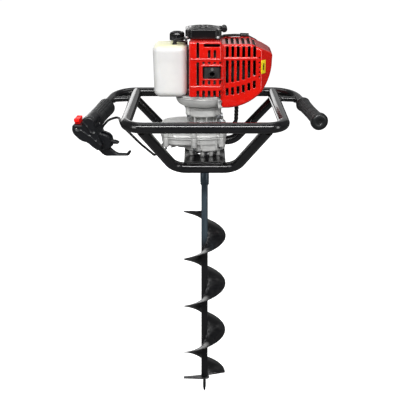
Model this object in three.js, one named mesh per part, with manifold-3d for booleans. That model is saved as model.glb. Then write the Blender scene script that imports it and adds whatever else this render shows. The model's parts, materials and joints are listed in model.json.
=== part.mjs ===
// Petrol ice fishing auger: a helical bit, a two-stage reduction gearbox, a small two-stroke engine
// and a welded tube frame with two hand grips. Millimetres, +Z up. The origin is the tip of the bit,
// and the bit turns about Z. The operator stands on the -Y side or the +Y side of the frame.
import * as THREE from 'three';
import { mergeVertices } from 'three/addons/utils/BufferGeometryUtils.js';
import Module from 'manifold-3d';

const wasm = await Module();
wasm.setup();

// ---- Driving dimensions ------------------------------------------------------------------------
const GAP = 0.3;                    // between a piece and the neighbour it is fitted to

const BIT_RADIUS = 51;
const SHAFT_RADIUS = 8;
const SHAFT_BORE = 5.5;
const BLADE_TOP_Z = 38;
const BLADE_THICKNESS = 3;
const POINT_RADIUS = 3.5;
const TIP_RADIUS = 1.2;             // blunt end of the centre point, where the auger stands
const SHAFT_TOP_Z = 556;
const FLIGHT_BOTTOM_Z = 41.5;
const FLIGHT_TOP_Z = 462;
const FLIGHT_TURNS = 3.5;
const FLIGHT_THICKNESS = 3;
const FLIGHT_CONE = 7;              // rise of the rim over the last quarter turn
const COLLAR_BOTTOM_Z = 528;
const COLLAR_TOP_Z = 578;
const COLLAR_RADIUS = 10.5;
const COLLAR_CHAMFER = 1.8;
const PIN_RADIUS = 2.5;
const PIN_Z = 541;

const PLATE_Z = 601.8;
const PLATE_THICKNESS = 3.9;
const CASE_BOTTOM_Z = 618;
const LOBE_BOTTOM_Z = 633;
const CASE_SPLIT_Z = 651;
const CASE_TOP_Z = 684;
const CASE_RADIUS = 50;
const CASE_WALL = 4;
const LAY_X = -51;                  // axis of the layshaft
const ENGINE_X = -3;                // axis of the input shaft, the clutch and the engine
const FLANGE_Z = 700;
const BOWL_Z = 722;

const OUTPUT_TEETH = 42;
const LAY_PINION_TEETH = 9;
const OUTPUT_MODULE = 2;
const LAY_TEETH = 55;
const INPUT_PINION_TEETH = 9;
const INPUT_MODULE = 1.5;
const OUTPUT_GEAR_Z = 637;
const OUTPUT_GEAR_WIDTH = 12;
const LAY_GEAR_Z = 653;
const LAY_GEAR_WIDTH = 8;

const OUTPUT_BEARING_Z = 622;       // seats of the bearings, each with its outer radius
const OUTPUT_BEARING_RADIUS = 16;
const OUTPUT_SEAL_RADIUS = 13;
const LAY_BEARING_RADIUS = 8;
const LAY_BEARING_LOW_Z = 623.2;
const LAY_BEARING_HIGH_Z = 679;
const LAYSHAFT_RADIUS = 5;
const INPUT_BEARING_RADIUS = 14;
const INPUT_BEARING_Z = 688;
const INPUT_SHAFT_RADIUS = 6;
const BOWL_NECK_RADIUS = 44.5;      // the cup over the gearcase that the clutch runs in
const DRUM_RADIUS = 38.5;
const DRUM_Z = 703.5;
const SHOE_RADIUS = 35;
const SHOE_Z = 708.5;
const SHOE_HEIGHT = 11;

const DECK_Z = 745.3;               // underside of the crankcase flange
const DECK_THICKNESS = 4;
const CRANK_Z = 791;                // height of the cylinder axis
const CRANK_THROW = 12;
const CRANKCASE_RADIUS = 30;
const BORE_RADIUS = 18;
const CRANK_TOP_Z = 882;
const CRANK_JOURNAL = 7;
const CRANK_PIN = 4;
const WEB_RADIUS = 20;
const WEB_THICKNESS = 6;
const MAIN_BEARING_RADIUS = 15;
const FLANGE_RADIUS = 62;           // of the crankcase on the blower housing

const SHROUD_LEFT_X = -36;
const SHROUD_MIDDLE_X = 37;
const SHROUD_RIGHT_X = 156;
const SHROUD_FRONT_Y = -75;
const SHROUD_REAR_Y = 46;
const BLOCK_FRONT_Y = -60;
const BLOCK_REAR_Y = 75;
const SHROUD_BOTTOM_Z = 751;
const SHROUD_TOP_Z = 879;
const BLOCK_TOP_Z = 871;
const SHROUD_WALL = 2.2;
const BELLY_CENTRE = [47, 828];       // X and Z of the ellipse under the right-hand block
const BELLY_WIDTH = 108;
const BELLY_DEPTH = 104;

const OUTLET_X = 16.5;              // exhaust outlet of the muffler, in its window
const OUTLET_Z = 806;
const OUTLET_RADIUS = 7.6;

const STARTER_Z = 879.4;
const STARTER_TOP_Z = 905;
const STARTER_RADIUS = 41;
const ROPE_Z = 896;
const ROPE_RADIUS = 2;
const PULLEY_GROOVE_RADIUS = 26;

const TANK_CENTRE = [-80, -2.5];
const TANK_WIDTH = 80;
const TANK_DEPTH = 95;
const TANK_BOTTOM_Z = 746.5;
const TANK_FLOOR_Z = 753.5;         // inside the tank, whose underside is notched for the blower housing
const TANK_TOP_Z = 867;
const FILLER_X = -64;

const RAIL_Y = 110;
const RAIL_Z = 730;
const LOOP_FRONT_X = 179;
const LOOP_REAR_X = 164;
const LOOP_FRONT_Y = -190;
const LOOP_FRONT_Z = 705;
const HANDLE_TUBE = 11;             // outer radius of the handlebar and of the rear lower tube
const LOOP_TUBE = 12.5;             // outer radius of the front loop and of the front lower tube
const GUSSET_TUBE = 6.5;
const TUBE_WALL = 1.6;
const TUBE_SIDES = 10;
const HANDLE_CORNER = [210, 110, 732];
const HANDLE_END = [262, -89.5, 698];
const GRIP_START_Y = 28.5;

// ---- Solids: booleans and basic forms ------------------------------------------------------------
function solid(geometry) {
  const bare = geometry.clone();
  bare.deleteAttribute('normal');
  bare.deleteAttribute('uv');
  const merged = mergeVertices(bare, 1e-4);
  const vertProperties = merged.attributes.position.array;
  const triVerts = new Uint32Array(merged.index.array);
  return new wasm.Manifold(new wasm.Mesh({ numProp: 3, vertProperties, triVerts }));
}

function geometryOf(manifold) {
  const { vertProperties, triVerts } = manifold.getMesh();
  const geometry = new THREE.BufferGeometry();
  geometry.setAttribute('position', new THREE.BufferAttribute(new Float32Array(vertProperties), 3));
  geometry.setIndex(new THREE.BufferAttribute(new Uint32Array(triVerts), 1));
  geometry.computeVertexNormals();
  return geometry;
}

function join(...geometries) {
  return geometryOf(geometries.map(solid).reduce((whole, next) => whole.add(next)));
}

function cut(geometry, ...cutters) {
  return geometryOf(cutters.map(solid).reduce((rest, cutter) => rest.subtract(cutter), solid(geometry)));
}

// A solid of revolution about Z. The profile is [radius, height] pairs, outer side upwards: it starts
// and ends on the axis, or closes on itself.
function turned(profile, sides = 18) {
  const points = profile.map(([radius, height]) => new THREE.Vector2(radius, height));
  const touchesAxis = profile[0][0] === 0 && profile.at(-1)[0] === 0;
  if (!touchesAxis) points.push(points[0].clone());
  return new THREE.LatheGeometry(points, sides).rotateX(Math.PI / 2);
}

function rod(radius, bottom, top, sides = 18) {
  return turned([[0, bottom], [radius, bottom], [radius, top], [0, top]], sides);
}

function sleeve(outer, inner, bottom, top, sides = 18) {
  return turned([[inner, bottom], [outer, bottom], [outer, top], [inner, top]], sides);
}

function block(xLow, xHigh, yLow, yHigh, zLow, zHigh) {
  const geometry = new THREE.BoxGeometry(xHigh - xLow, yHigh - yLow, zHigh - zLow);
  return geometry.translate((xLow + xHigh) / 2, (yLow + yHigh) / 2, (zLow + zHigh) / 2);
}

function prism(shape, bottom, top, curveSegments = 6) {
  const options = { depth: top - bottom, bevelEnabled: false, curveSegments };
  return new THREE.ExtrudeGeometry(shape, options).translate(0, 0, bottom);
}

// Turns a form built along Z so that it lies along X, or along Y.
const alongX = (geometry) => geometry.rotateY(Math.PI / 2);
const alongY = (geometry) => geometry.rotateX(-Math.PI / 2);

function polygon(points) {
  return new THREE.Shape(points.map(([x, y]) => new THREE.Vector2(x, y)));
}

function roundedRectangle(width, depth, radius) {
  const shape = new THREE.Shape();
  const x = width / 2 - radius;
  const y = depth / 2 - radius;
  shape.absarc(x, y, radius, 0, Math.PI / 2);
  shape.absarc(-x, y, radius, Math.PI / 2, Math.PI);
  shape.absarc(-x, -y, radius, Math.PI, Math.PI * 1.5);
  shape.absarc(x, -y, radius, Math.PI * 1.5, Math.PI * 2);
  return shape;
}

// ---- Bent tubes ----------------------------------------------------------------------------------
// A centre line of straight runs joined by round bends. It has one station at each end of a straight
// run and BEND_STEPS of them round a bend, so that a straight run costs one row of faces.
const BEND_STEPS = 4;

class BentLine extends THREE.Curve {
  constructor(corners, bendRadius, bendSteps = BEND_STEPS) {
    super();
    this.bendSteps = bendSteps;
    const points = corners.map((corner) => new THREE.Vector3(...corner));
    this.stations = [];
    const last = points.length - 1;
    this.addStation(points[0], points[1].clone().sub(points[0]));
    for (let i = 1; i < last; i += 1) this.addBend(points[i - 1], points[i], points[i + 1], bendRadius);
    this.addStation(points[last], points[last].clone().sub(points[last - 1]));
  }

  addStation(point, direction) {
    this.stations.push({ point: point.clone(), direction: direction.clone().normalize() });
  }

  addBend(before, corner, after, radius) {
    const incoming = corner.clone().sub(before).normalize();
    const outgoing = after.clone().sub(corner).normalize();
    const angle = incoming.angleTo(outgoing);
    const start = corner.clone().addScaledVector(incoming, -radius * Math.tan(angle / 2));
    const inward = outgoing.clone().addScaledVector(incoming, -incoming.dot(outgoing)).normalize();
    for (let step = 0; step <= this.bendSteps; step += 1) {
      const turn = (angle * step) / this.bendSteps;
      const point = start.clone()
        .addScaledVector(incoming, radius * Math.sin(turn))
        .addScaledVector(inward, radius * (1 - Math.cos(turn)));
      const direction = incoming.clone().multiplyScalar(Math.cos(turn));
      this.addStation(point, direction.addScaledVector(inward, Math.sin(turn)));
    }
  }

  between(t, name) {
    const place = t * (this.stations.length - 1);
    const index = Math.min(Math.floor(place), this.stations.length - 2);
    const from = this.stations[index][name];
    return from.clone().lerp(this.stations[index + 1][name], place - index);
  }

  getPoint(t) {
    return this.between(t, 'point');
  }

  getTangent(t) {
    return this.between(t, 'direction').normalize();
  }

  getPointAt(u) {
    return this.getPoint(u);
  }

  getTangentAt(u) {
    return this.getTangent(u);
  }

  getSpacedPoints(divisions) {
    return this.getPoints(divisions);
  }
}

function alongLine(shape, line) {
  const steps = line.stations.length - 1;
  const options = { steps, extrudePath: line, bevelEnabled: false, curveSegments: 1 };
  return new THREE.ExtrudeGeometry(shape, options);
}

function circlePoints(radius, sides) {
  const angles = Array.from({ length: sides }, (_, i) => (2 * Math.PI * i) / sides);
  return angles.map((angle) => new THREE.Vector2(radius * Math.cos(angle), radius * Math.sin(angle)));
}

function solidBar(line, radius, sides = TUBE_SIDES) {
  return alongLine(new THREE.Shape(circlePoints(radius, sides)), line);
}

function tube(line, radius, wall = TUBE_WALL, sides = TUBE_SIDES) {
  const ring = new THREE.Shape(circlePoints(radius, sides));
  ring.holes.push(new THREE.Path(circlePoints(radius - wall, sides)));
  return alongLine(ring, line);
}

// ---- The scene graph -----------------------------------------------------------------------------
const auger = new THREE.Group();

const PAINT = {
  red: { color: 0xd80a0a, roughness: 0.25, metalness: 0.1 },
  black: { color: 0x141416, roughness: 0.3, metalness: 0.4 },
  rubber: { color: 0x151515, roughness: 0.85, metalness: 0 },
  casting: { color: 0xb9bab8, roughness: 0.45, metalness: 0.9 },
  steel: { color: 0x8f9499, roughness: 0.35, metalness: 1 },
  darkSteel: { color: 0x4c5661, roughness: 0.4, metalness: 0.8 },
  clear: { color: 0xe4e2da, roughness: 0.4, metalness: 0 },
  brass: { color: 0xb6965a, roughness: 0.35, metalness: 1 },
  foam: { color: 0x3a3d40, roughness: 0.95, metalness: 0 },
  lining: { color: 0x5b4b3c, roughness: 0.9, metalness: 0 },
};

function add(parent, name, paint, geometry) {
  const mesh = new THREE.Mesh(geometry, new THREE.MeshStandardMaterial(PAINT[paint]));
  mesh.name = name;
  parent.add(mesh);
  return mesh;
}

function groupAt(x, y, z, parent = auger) {
  const group = new THREE.Group();
  group.position.set(x, y, z);
  parent.add(group);
  return group;
}

// ---- Bit -----------------------------------------------------------------------------------------
// The flight is a slab bent into a right-handed helix: its width becomes the radius, its length the
// angle, and its thickness stays upright. Over the last quarter turn the rim rises to the cutting side.
function flight(inner, outer, stepsPerTurn) {
  const steps = FLIGHT_TURNS * stepsPerTurn;
  const slab = new THREE.BoxGeometry(outer - inner, 1, FLIGHT_THICKNESS, 1, steps, 1);
  const place = slab.attributes.position;
  const pitch = (FLIGHT_TOP_Z - FLIGHT_BOTTOM_Z) / FLIGHT_TURNS;
  for (let i = 0; i < place.count; i += 1) {
    const radius = place.getX(i) + (inner + outer) / 2;
    const turns = (place.getY(i) + 0.5) * FLIGHT_TURNS;
    const angle = turns * 2 * Math.PI;
    const fade = Math.max(0, 1 - turns * 4);
    const rise = (FLIGHT_CONE * fade * (radius - inner)) / (outer - inner);
    const height = FLIGHT_BOTTOM_Z + turns * pitch + place.getZ(i) + rise;
    place.setXYZ(i, radius * Math.cos(angle), radius * Math.sin(angle), height);
  }
  return slab;
}

function crossHole(radius, reach) {
  return alongY(rod(radius, -reach, reach, 12)).translate(0, 0, PIN_Z);
}

function bladeOutline() {
  return polygon([[-BIT_RADIUS, -9], [-8, -13], [9, -11], [12, 0], [9, 11], [-8, 12], [-BIT_RADIUS, 4]]);
}

function buildBit() {
  const bit = groupAt(0, 0, 0);
  const pinClearance = PIN_RADIUS + GAP;
  const shaft = sleeve(SHAFT_RADIUS, SHAFT_BORE, BLADE_TOP_Z + GAP, SHAFT_TOP_Z);
  add(bit, 'bit_shaft', 'darkSteel', cut(shaft, crossHole(pinClearance, 20)));
  const collarEdge = COLLAR_RADIUS - COLLAR_CHAMFER;
  const collar = turned([
    [SHAFT_RADIUS + GAP, COLLAR_BOTTOM_Z], [collarEdge, COLLAR_BOTTOM_Z],
    [COLLAR_RADIUS, COLLAR_BOTTOM_Z + COLLAR_CHAMFER], [COLLAR_RADIUS, COLLAR_TOP_Z - COLLAR_CHAMFER],
    [collarEdge, COLLAR_TOP_Z], [SHAFT_RADIUS + GAP, COLLAR_TOP_Z],
  ]);
  add(bit, 'bit_collar', 'darkSteel', cut(collar, crossHole(pinClearance, 20)));
  const pin = alongY(rod(PIN_RADIUS, -COLLAR_RADIUS, COLLAR_RADIUS, 12)).translate(0, 0, PIN_Z);
  add(bit, 'coupling_pin', 'steel', pin);
  add(bit, 'bit_flight', 'black', flight(SHAFT_RADIUS + GAP, BIT_RADIUS, 20));
  const blade = prism(bladeOutline(), BLADE_TOP_Z - BLADE_THICKNESS, BLADE_TOP_Z);
  add(bit, 'cutting_blade', 'steel', cut(blade, rod(POINT_RADIUS + GAP, 0, 60, 12)));
  const plugRadius = SHAFT_BORE - GAP;
  add(bit, 'centre_point', 'steel', turned([
    [0, 0], [TIP_RADIUS, 0], [POINT_RADIUS, 9], [POINT_RADIUS, BLADE_TOP_Z + GAP],
    [plugRadius, BLADE_TOP_Z + GAP], [plugRadius, 62], [0, 62],
  ], 12));
  const gearTop = OUTPUT_GEAR_Z + OUTPUT_GEAR_WIDTH;
  add(bit, 'output_shaft', 'steel', rod(SHAFT_RADIUS, SHAFT_TOP_Z + 1, gearTop + 1));
  const wheel = prism(gearShape(OUTPUT_TEETH, OUTPUT_MODULE, Math.PI), OUTPUT_GEAR_Z, gearTop);
  add(bit, 'output_gear', 'steel', cut(wheel, rod(SHAFT_RADIUS + GAP, 600, 700)));
}

// ---- Reduction gearbox ---------------------------------------------------------------------------
// Straight-sided teeth with running clearance on both flanks. A gap between two teeth is centred on
// the direction given by phase.
function gearShape(teeth, module, phase) {
  const pitchRadius = (teeth * module) / 2;
  const root = pitchRadius - 1.15 * module;
  const tip = pitchRadius + 0.75 * module;
  const pitch = (2 * Math.PI) / teeth;
  const points = [];
  for (let tooth = 0; tooth < teeth; tooth += 1) {
    const centre = phase + (tooth + 0.5) * pitch;
    const corners = [[root, -0.24], [tip, -0.1], [tip, 0.1], [root, 0.24]];
    for (const [radius, share] of corners) {
      const angle = centre + share * pitch;
      points.push([radius * Math.cos(angle), radius * Math.sin(angle)]);
    }
  }
  return polygon(points);
}

// The outline of the two-lobed case: two equal circles, at x = 0 and at the layshaft, and their tangents.
function caseOutline(radius) {
  const shape = new THREE.Shape();
  shape.absarc(0, 0, radius, -Math.PI / 2, Math.PI / 2);
  shape.absarc(LAY_X, 0, radius, Math.PI / 2, Math.PI * 1.5);
  return shape;
}

// Screw lugs round the case, the same on both halves.
function caseLugs(bottom, top) {
  const places = [[LAY_X - 39, -38], [LAY_X - 39, 38], [-25, -51], [-25, 51], [38, -38], [38, 38]];
  return places.map(([x, y]) => rod(6.5, bottom, top, 8).translate(x, y, 0));
}

function lowerCase() {
  const inner = CASE_RADIUS - CASE_WALL;
  const shell = join(
    prism(caseOutline(CASE_RADIUS), LOBE_BOTTOM_Z, CASE_SPLIT_Z, 7),
    rod(CASE_RADIUS - 1, CASE_BOTTOM_Z, CASE_SPLIT_Z, 22),
    ...caseLugs(LOBE_BOTTOM_Z, CASE_SPLIT_Z),
  );
  const hollow = cut(
    shell,
    prism(caseOutline(inner), LOBE_BOTTOM_Z + CASE_WALL, CASE_SPLIT_Z + 1, 7),
    rod(inner - 1, CASE_BOTTOM_Z + CASE_WALL, CASE_SPLIT_Z + 1, 22),
  );
  const feet = [[-30, -26], [-5, -38], [14, -36], [30, -26], [-30, 26], [30, 26]];
  const footRadius = 5;
  const footBottom = PLATE_Z + PLATE_THICKNESS + GAP;
  const legs = feet.map(([x, y]) => rod(footRadius, footBottom, CASE_BOTTOM_Z + 2, 8).translate(x, y, 0));
  const bossTop = OUTPUT_GEAR_Z - 2.5;
  const layBoss = rod(LAY_BEARING_RADIUS + CASE_WALL, LAY_BEARING_LOW_Z - 3.2, LOBE_BOTTOM_Z + 3.5, 12);
  const whole = join(
    hollow,
    ...legs,
    rod(OUTPUT_BEARING_RADIUS + 6, CASE_BOTTOM_Z, bossTop),
    layBoss.translate(LAY_X, 0, 0),
  );
  const over = 10;
  return cut(
    whole,
    rod(OUTPUT_BEARING_RADIUS + GAP, OUTPUT_BEARING_Z - GAP, bossTop + over),
    rod(OUTPUT_SEAL_RADIUS + GAP, CASE_BOTTOM_Z - over, OUTPUT_BEARING_Z),
    rod(LAY_BEARING_RADIUS + GAP, LAY_BEARING_LOW_Z, bossTop + over, 12).translate(LAY_X, 0, 0),
  );
}

function upperCase() {
  const inner = CASE_RADIUS - CASE_WALL;
  const shell = join(
    prism(caseOutline(CASE_RADIUS), CASE_SPLIT_Z + GAP, CASE_TOP_Z, 7),
    ...caseLugs(CASE_SPLIT_Z + GAP, CASE_TOP_Z - 12),
    rod(30, CASE_TOP_Z - 2, FLANGE_Z + 1).translate(ENGINE_X, 0, 0),
    rod(BOWL_NECK_RADIUS, FLANGE_Z, BOWL_Z, 22).translate(ENGINE_X, 0, 0),
  );
  const hollow = cut(shell, prism(caseOutline(inner), CASE_SPLIT_Z - 1, CASE_TOP_Z - CASE_WALL, 7));
  const layBoss = rod(LAY_BEARING_RADIUS + CASE_WALL, LAY_BEARING_HIGH_Z - 11.5, CASE_TOP_Z - 1, 12);
  const whole = join(hollow, layBoss.translate(LAY_X, 0, 0));
  const floor = FLANGE_Z + 2.7;
  return cut(
    whole,
    rod(LAY_BEARING_RADIUS + GAP, LAY_BEARING_HIGH_Z - 19, LAY_BEARING_HIGH_Z, 12).translate(LAY_X, 0, 0),
    rod(INPUT_BEARING_RADIUS + GAP, CASE_TOP_Z - 14, floor + 1).translate(ENGINE_X, 0, 0),
    rod(BOWL_NECK_RADIUS - 3.7, floor, BOWL_Z + 1, 22).translate(ENGINE_X, 0, 0),
  );
}

function buildGearbox() {
  const housing = groupAt(0, 0, 0);
  add(housing, 'gearcase_lower', 'casting', lowerCase());
  add(housing, 'gearcase_upper', 'casting', upperCase());
  const outputBore = SHAFT_RADIUS + GAP;
  const bearing = sleeve(OUTPUT_BEARING_RADIUS, outputBore, OUTPUT_BEARING_Z + 0.2, OUTPUT_BEARING_Z + 12);
  add(housing, 'output_bearing', 'steel', bearing);
  const seal = sleeve(OUTPUT_SEAL_RADIUS, outputBore, CASE_BOTTOM_Z + GAP, OUTPUT_BEARING_Z - 0.5);
  add(housing, 'output_seal', 'rubber', seal);
  const layBore = LAYSHAFT_RADIUS + GAP;
  const lowBush = sleeve(LAY_BEARING_RADIUS, layBore, LAY_BEARING_LOW_Z + GAP, OUTPUT_GEAR_Z - 1, 12);
  add(housing, 'layshaft_bearing_lower', 'brass', lowBush.translate(LAY_X, 0, 0));
  const highEnd = LAY_BEARING_HIGH_Z - 0.5;
  const highBush = sleeve(LAY_BEARING_RADIUS, layBore, highEnd - 10.5, highEnd, 12);
  add(housing, 'layshaft_bearing_upper', 'brass', highBush.translate(LAY_X, 0, 0));
  const inputBore = INPUT_SHAFT_RADIUS + GAP;
  const inputBearing = sleeve(INPUT_BEARING_RADIUS, inputBore, INPUT_BEARING_Z, INPUT_BEARING_Z + 11);
  add(housing, 'input_bearing', 'steel', inputBearing.translate(ENGINE_X, 0, 0));

  const countershaft = groupAt(LAY_X, 0, 0);
  const halfTooth = Math.PI / LAY_PINION_TEETH;
  const pinion = prism(gearShape(LAY_PINION_TEETH, OUTPUT_MODULE, halfTooth), OUTPUT_GEAR_Z, 650);
  const layRod = rod(LAYSHAFT_RADIUS, LAY_BEARING_LOW_Z + 1, LAY_BEARING_HIGH_Z - 1, 12);
  add(countershaft, 'layshaft', 'steel', join(layRod, pinion));
  const layWheel = prism(gearShape(LAY_TEETH, INPUT_MODULE, 0), LAY_GEAR_Z, LAY_GEAR_Z + LAY_GEAR_WIDTH);
  const layHole = rod(layBore, LAY_GEAR_Z - 5, LAY_GEAR_Z + 20, 12);
  add(countershaft, 'layshaft_gear', 'steel', cut(layWheel, layHole));

  const input = groupAt(ENGINE_X, 0, 0);
  const pinionTop = LAY_GEAR_Z + 18;
  const inputPinion = prism(gearShape(INPUT_PINION_TEETH, INPUT_MODULE, 0), LAY_GEAR_Z - 1, pinionTop);
  const inputRod = rod(INPUT_SHAFT_RADIUS, pinionTop - 1, DRUM_Z + 2.8, 12);
  add(input, 'input_shaft', 'steel', join(inputPinion, inputRod));
  const drumWall = 2;
  const web = DRUM_Z + 2.5;
  const rim = DRUM_Z + 17;
  const drum = turned([
    [inputBore, DRUM_Z], [DRUM_RADIUS, DRUM_Z], [DRUM_RADIUS, rim], [DRUM_RADIUS - drumWall, rim],
    [DRUM_RADIUS - drumWall, web], [inputBore, web],
  ], 22);
  add(input, 'clutch_drum', 'steel', drum);
}

// ---- Clutch --------------------------------------------------------------------------------------
function clutchShoe(side) {
  const spread = 1.15;
  const thickness = 15;
  const shape = new THREE.Shape();
  const middle = side > 0 ? 0 : Math.PI;
  shape.absarc(0, 0, SHOE_RADIUS, middle - spread, middle + spread, false);
  shape.absarc(0, 0, SHOE_RADIUS - thickness, middle + spread, middle - spread, true);
  return prism(shape, SHOE_Z, SHOE_Z + SHOE_HEIGHT, 10);
}

// ---- Engine --------------------------------------------------------------------------------------
function crankcase() {
  const deckTop = DECK_Z + DECK_THICKNESS;
  const top = 833;
  const mouth = CRANK_JOURNAL + 2;
  const seat = MAIN_BEARING_RADIUS + GAP;
  const chamber = CRANKCASE_RADIUS - 4;
  const chamberTop = CRANK_Z + 26;
  const chamberBottom = CRANK_Z - 22;
  const lowSeat = deckTop + 1;
  const highSeat = top - 3.7;
  const can = turned([
    [mouth, DECK_Z], [FLANGE_RADIUS, DECK_Z], [FLANGE_RADIUS, deckTop], [CRANKCASE_RADIUS, deckTop],
    [CRANKCASE_RADIUS, top], [mouth, top], [mouth, highSeat], [seat, highSeat], [seat, chamberTop],
    [chamber, chamberTop], [chamber, chamberBottom], [seat, chamberBottom], [seat, lowSeat],
    [mouth, lowSeat],
  ], 22);
  const cylinderMouth = alongX(rod(BORE_RADIUS + 0.5, 5, 40)).translate(0, 0, CRANK_Z);
  const intakePort = alongY(rod(9, 5, 40, 12)).translate(0, 0, CRANK_Z);
  return cut(can, cylinderMouth, intakePort);
}

function crankshaft() {
  const lowerWeb = CRANK_Z - 5;
  const upperWeb = CRANK_Z + 5;
  return join(
    rod(CRANK_JOURNAL, SHOE_Z - 1, lowerWeb, 12),
    rod(WEB_RADIUS, lowerWeb - WEB_THICKNESS, lowerWeb),
    rod(CRANK_PIN, lowerWeb - 1, upperWeb + 1, 12).translate(CRANK_THROW, 0, 0),
    rod(WEB_RADIUS, upperWeb, upperWeb + WEB_THICKNESS),
    rod(CRANK_JOURNAL, upperWeb, CRANK_TOP_Z, 12),
  );
}

function flywheel() {
  const bore = CRANK_JOURNAL + GAP;
  const hub = 16;
  const bottom = 728;
  const top = 742;
  const rim = 56;
  return turned([
    [bore, bottom], [hub, bottom], [hub, bottom + 3], [rim - 6, bottom + 3], [rim, bottom + 9],
    [rim, top], [hub, top], [hub, top + 1], [bore, top + 1],
  ], 22);
}

const PLUG_RADIUS = 5;

// The finned barrel lies along X, with its head at the far end.
function cylinder() {
  const foot = CRANKCASE_RADIUS + GAP;
  const headEnd = 110;
  const head = 6;
  const finReach = 36;
  const finThickness = 3;
  const fins = [];
  for (let fin = 0; fin < 6; fin += 1) {
    const x = 45 + fin * 11;
    fins.push(block(x, x + finThickness, -finReach, finReach, CRANK_Z - finReach, CRANK_Z + finReach));
  }
  const barrel = alongX(rod(BORE_RADIUS + 5, 20, headEnd)).translate(0, 0, CRANK_Z);
  const bore = alongX(rod(BORE_RADIUS, 10, headEnd - head)).translate(0, 0, CRANK_Z);
  const plugHole = alongX(rod(PLUG_RADIUS + GAP, headEnd - 15, headEnd + 30, 12)).translate(0, 0, CRANK_Z);
  const seat = rod(foot, 700, 900, 22);
  return cut(join(barrel, ...fins), bore, plugHole, seat);
}

const PISTON_X = 78;
const PISTON_LENGTH = 24;
const WRIST_PIN_X = PISTON_X + 10;
const WRIST_PIN_RADIUS = 3.5;
const ROD_EYE_RADIUS = 7;

function piston() {
  const crown = PISTON_X + PISTON_LENGTH;
  const radius = BORE_RADIUS - 0.45;
  const inside = radius - 2.5;
  const underCrown = crown - 4;
  const skirt = turned([
    [inside, PISTON_X], [radius, PISTON_X], [radius, crown], [0, crown], [0, underCrown],
    [inside, underCrown],
  ]);
  const pinHole = rod(WRIST_PIN_RADIUS + GAP, -30, 30, 12).translate(WRIST_PIN_X, 0, 0);
  return cut(alongX(skirt), pinHole).translate(0, 0, CRANK_Z);
}

function connectingRod() {
  const half = 4;
  const eye = sleeve(ROD_EYE_RADIUS, WRIST_PIN_RADIUS + GAP, -half, half, 12).translate(WRIST_PIN_X, 0, 0);
  const saddleX = 44;
  const saddleRadius = 11;
  const shank = block(saddleX + 8, WRIST_PIN_X - 5, -3.5, 3.5, -2.5, 2.5);
  const ring = sleeve(saddleRadius, saddleRadius - 4, -half, half).translate(saddleX, 0, 0);
  const saddle = cut(ring, block(0, saddleX - 1, -20, 20, -10, 10));
  return join(eye, shank, saddle).translate(0, 0, CRANK_Z);
}

function muffler() {
  const can = cut(block(-3, 35, -71, -35, 780, 824), block(-1, 33, -69, -37, 782, 822));
  const inner = OUTLET_RADIUS - 2;
  const outlet = alongY(sleeve(OUTLET_RADIUS, inner, -82, -60, 20)).translate(OUTLET_X, 0, OUTLET_Z);
  const mouth = alongY(rod(inner, -90, -60, 20)).translate(OUTLET_X, 0, OUTLET_Z);
  return cut(join(can, outlet), mouth);
}

function sparkPlug() {
  const profile = [
    [0, 105], [PLUG_RADIUS, 105], [PLUG_RADIUS, 110.3], [8, 110.3], [8, 116], [4.5, 117], [3.5, 126],
    [0, 126],
  ];
  return alongX(turned(profile, 12)).translate(0, 0, CRANK_Z);
}

function plugBoot() {
  const profile = [[5, 117.5], [8, 117.5], [8, 134], [0, 134], [0, 126.5], [5, 126.5]];
  return alongX(turned(profile, 12)).translate(0, 0, CRANK_Z);
}

// The front outline of the right-hand block of the cooling shroud, inset by the wall for its hollow.
function blockOutline(inset) {
  const [x, z] = BELLY_CENTRE;
  const width = BELLY_WIDTH - inset;
  const depth = BELLY_DEPTH - inset;
  const shape = new THREE.Shape();
  shape.moveTo(SHROUD_MIDDLE_X + inset, z - depth);
  shape.lineTo(x, z - depth);
  shape.absellipse(x, z, width, depth, -Math.PI / 2, 0);
  shape.lineTo(SHROUD_RIGHT_X - inset, z + 14);
  shape.lineTo(SHROUD_RIGHT_X - 8 - inset, z + 22);
  shape.lineTo(SHROUD_RIGHT_X - 50 - inset / 2, BLOCK_TOP_Z - inset);
  shape.lineTo(SHROUD_MIDDLE_X + inset, BLOCK_TOP_Z - inset);
  return shape;
}

// Swings an outline drawn in X and Z, and raised along +Z, to a slab that runs from one Y to another.
function slabAcrossY(shape, yLow, yHigh) {
  return prism(shape, -yHigh, -yLow, 10).rotateX(Math.PI / 2);
}

function shroudVolume(inset, bottom) {
  const left = block(
    SHROUD_LEFT_X + inset, SHROUD_MIDDLE_X + 1 - inset, SHROUD_FRONT_Y + inset, SHROUD_REAR_Y + inset * 2,
    bottom, SHROUD_TOP_Z - inset,
  );
  const right = slabAcrossY(blockOutline(inset), BLOCK_FRONT_Y + inset, BLOCK_REAR_Y - inset);
  return join(left, right);
}

function shroud() {
  const passage = block(
    SHROUD_MIDDLE_X - 5, SHROUD_MIDDLE_X + 5, BLOCK_FRONT_Y + 3, SHROUD_REAR_Y,
    SHROUD_BOTTOM_Z + 1, BLOCK_TOP_Z - 3,
  );
  const window = block(-5, 38, SHROUD_FRONT_Y - 5, SHROUD_FRONT_Y + 10, 794.5, 823);
  const corner = polygon([[128, -70], [170, -70], [170, -22], [156, -22], [128, -60.01]]);
  const outer = cut(shroudVolume(0, SHROUD_BOTTOM_Z), prism(corner, 700, 900));
  const innerCorner = polygon([[126, -70], [170, -70], [170, -22], [154, -20], [126, -58]]);
  const inner = cut(shroudVolume(SHROUD_WALL, SHROUD_BOTTOM_Z - 1), prism(innerCorner, 700, 900));
  return cut(
    outer,
    inner,
    passage,
    window,
    rod(65, 690, 751.2, 22).translate(ENGINE_X, 0, 0),
    rod(14, 860, 890).translate(ENGINE_X, 0, 0),
    block(46, 120, -40, 50, 700, 735),
  );
}

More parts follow.
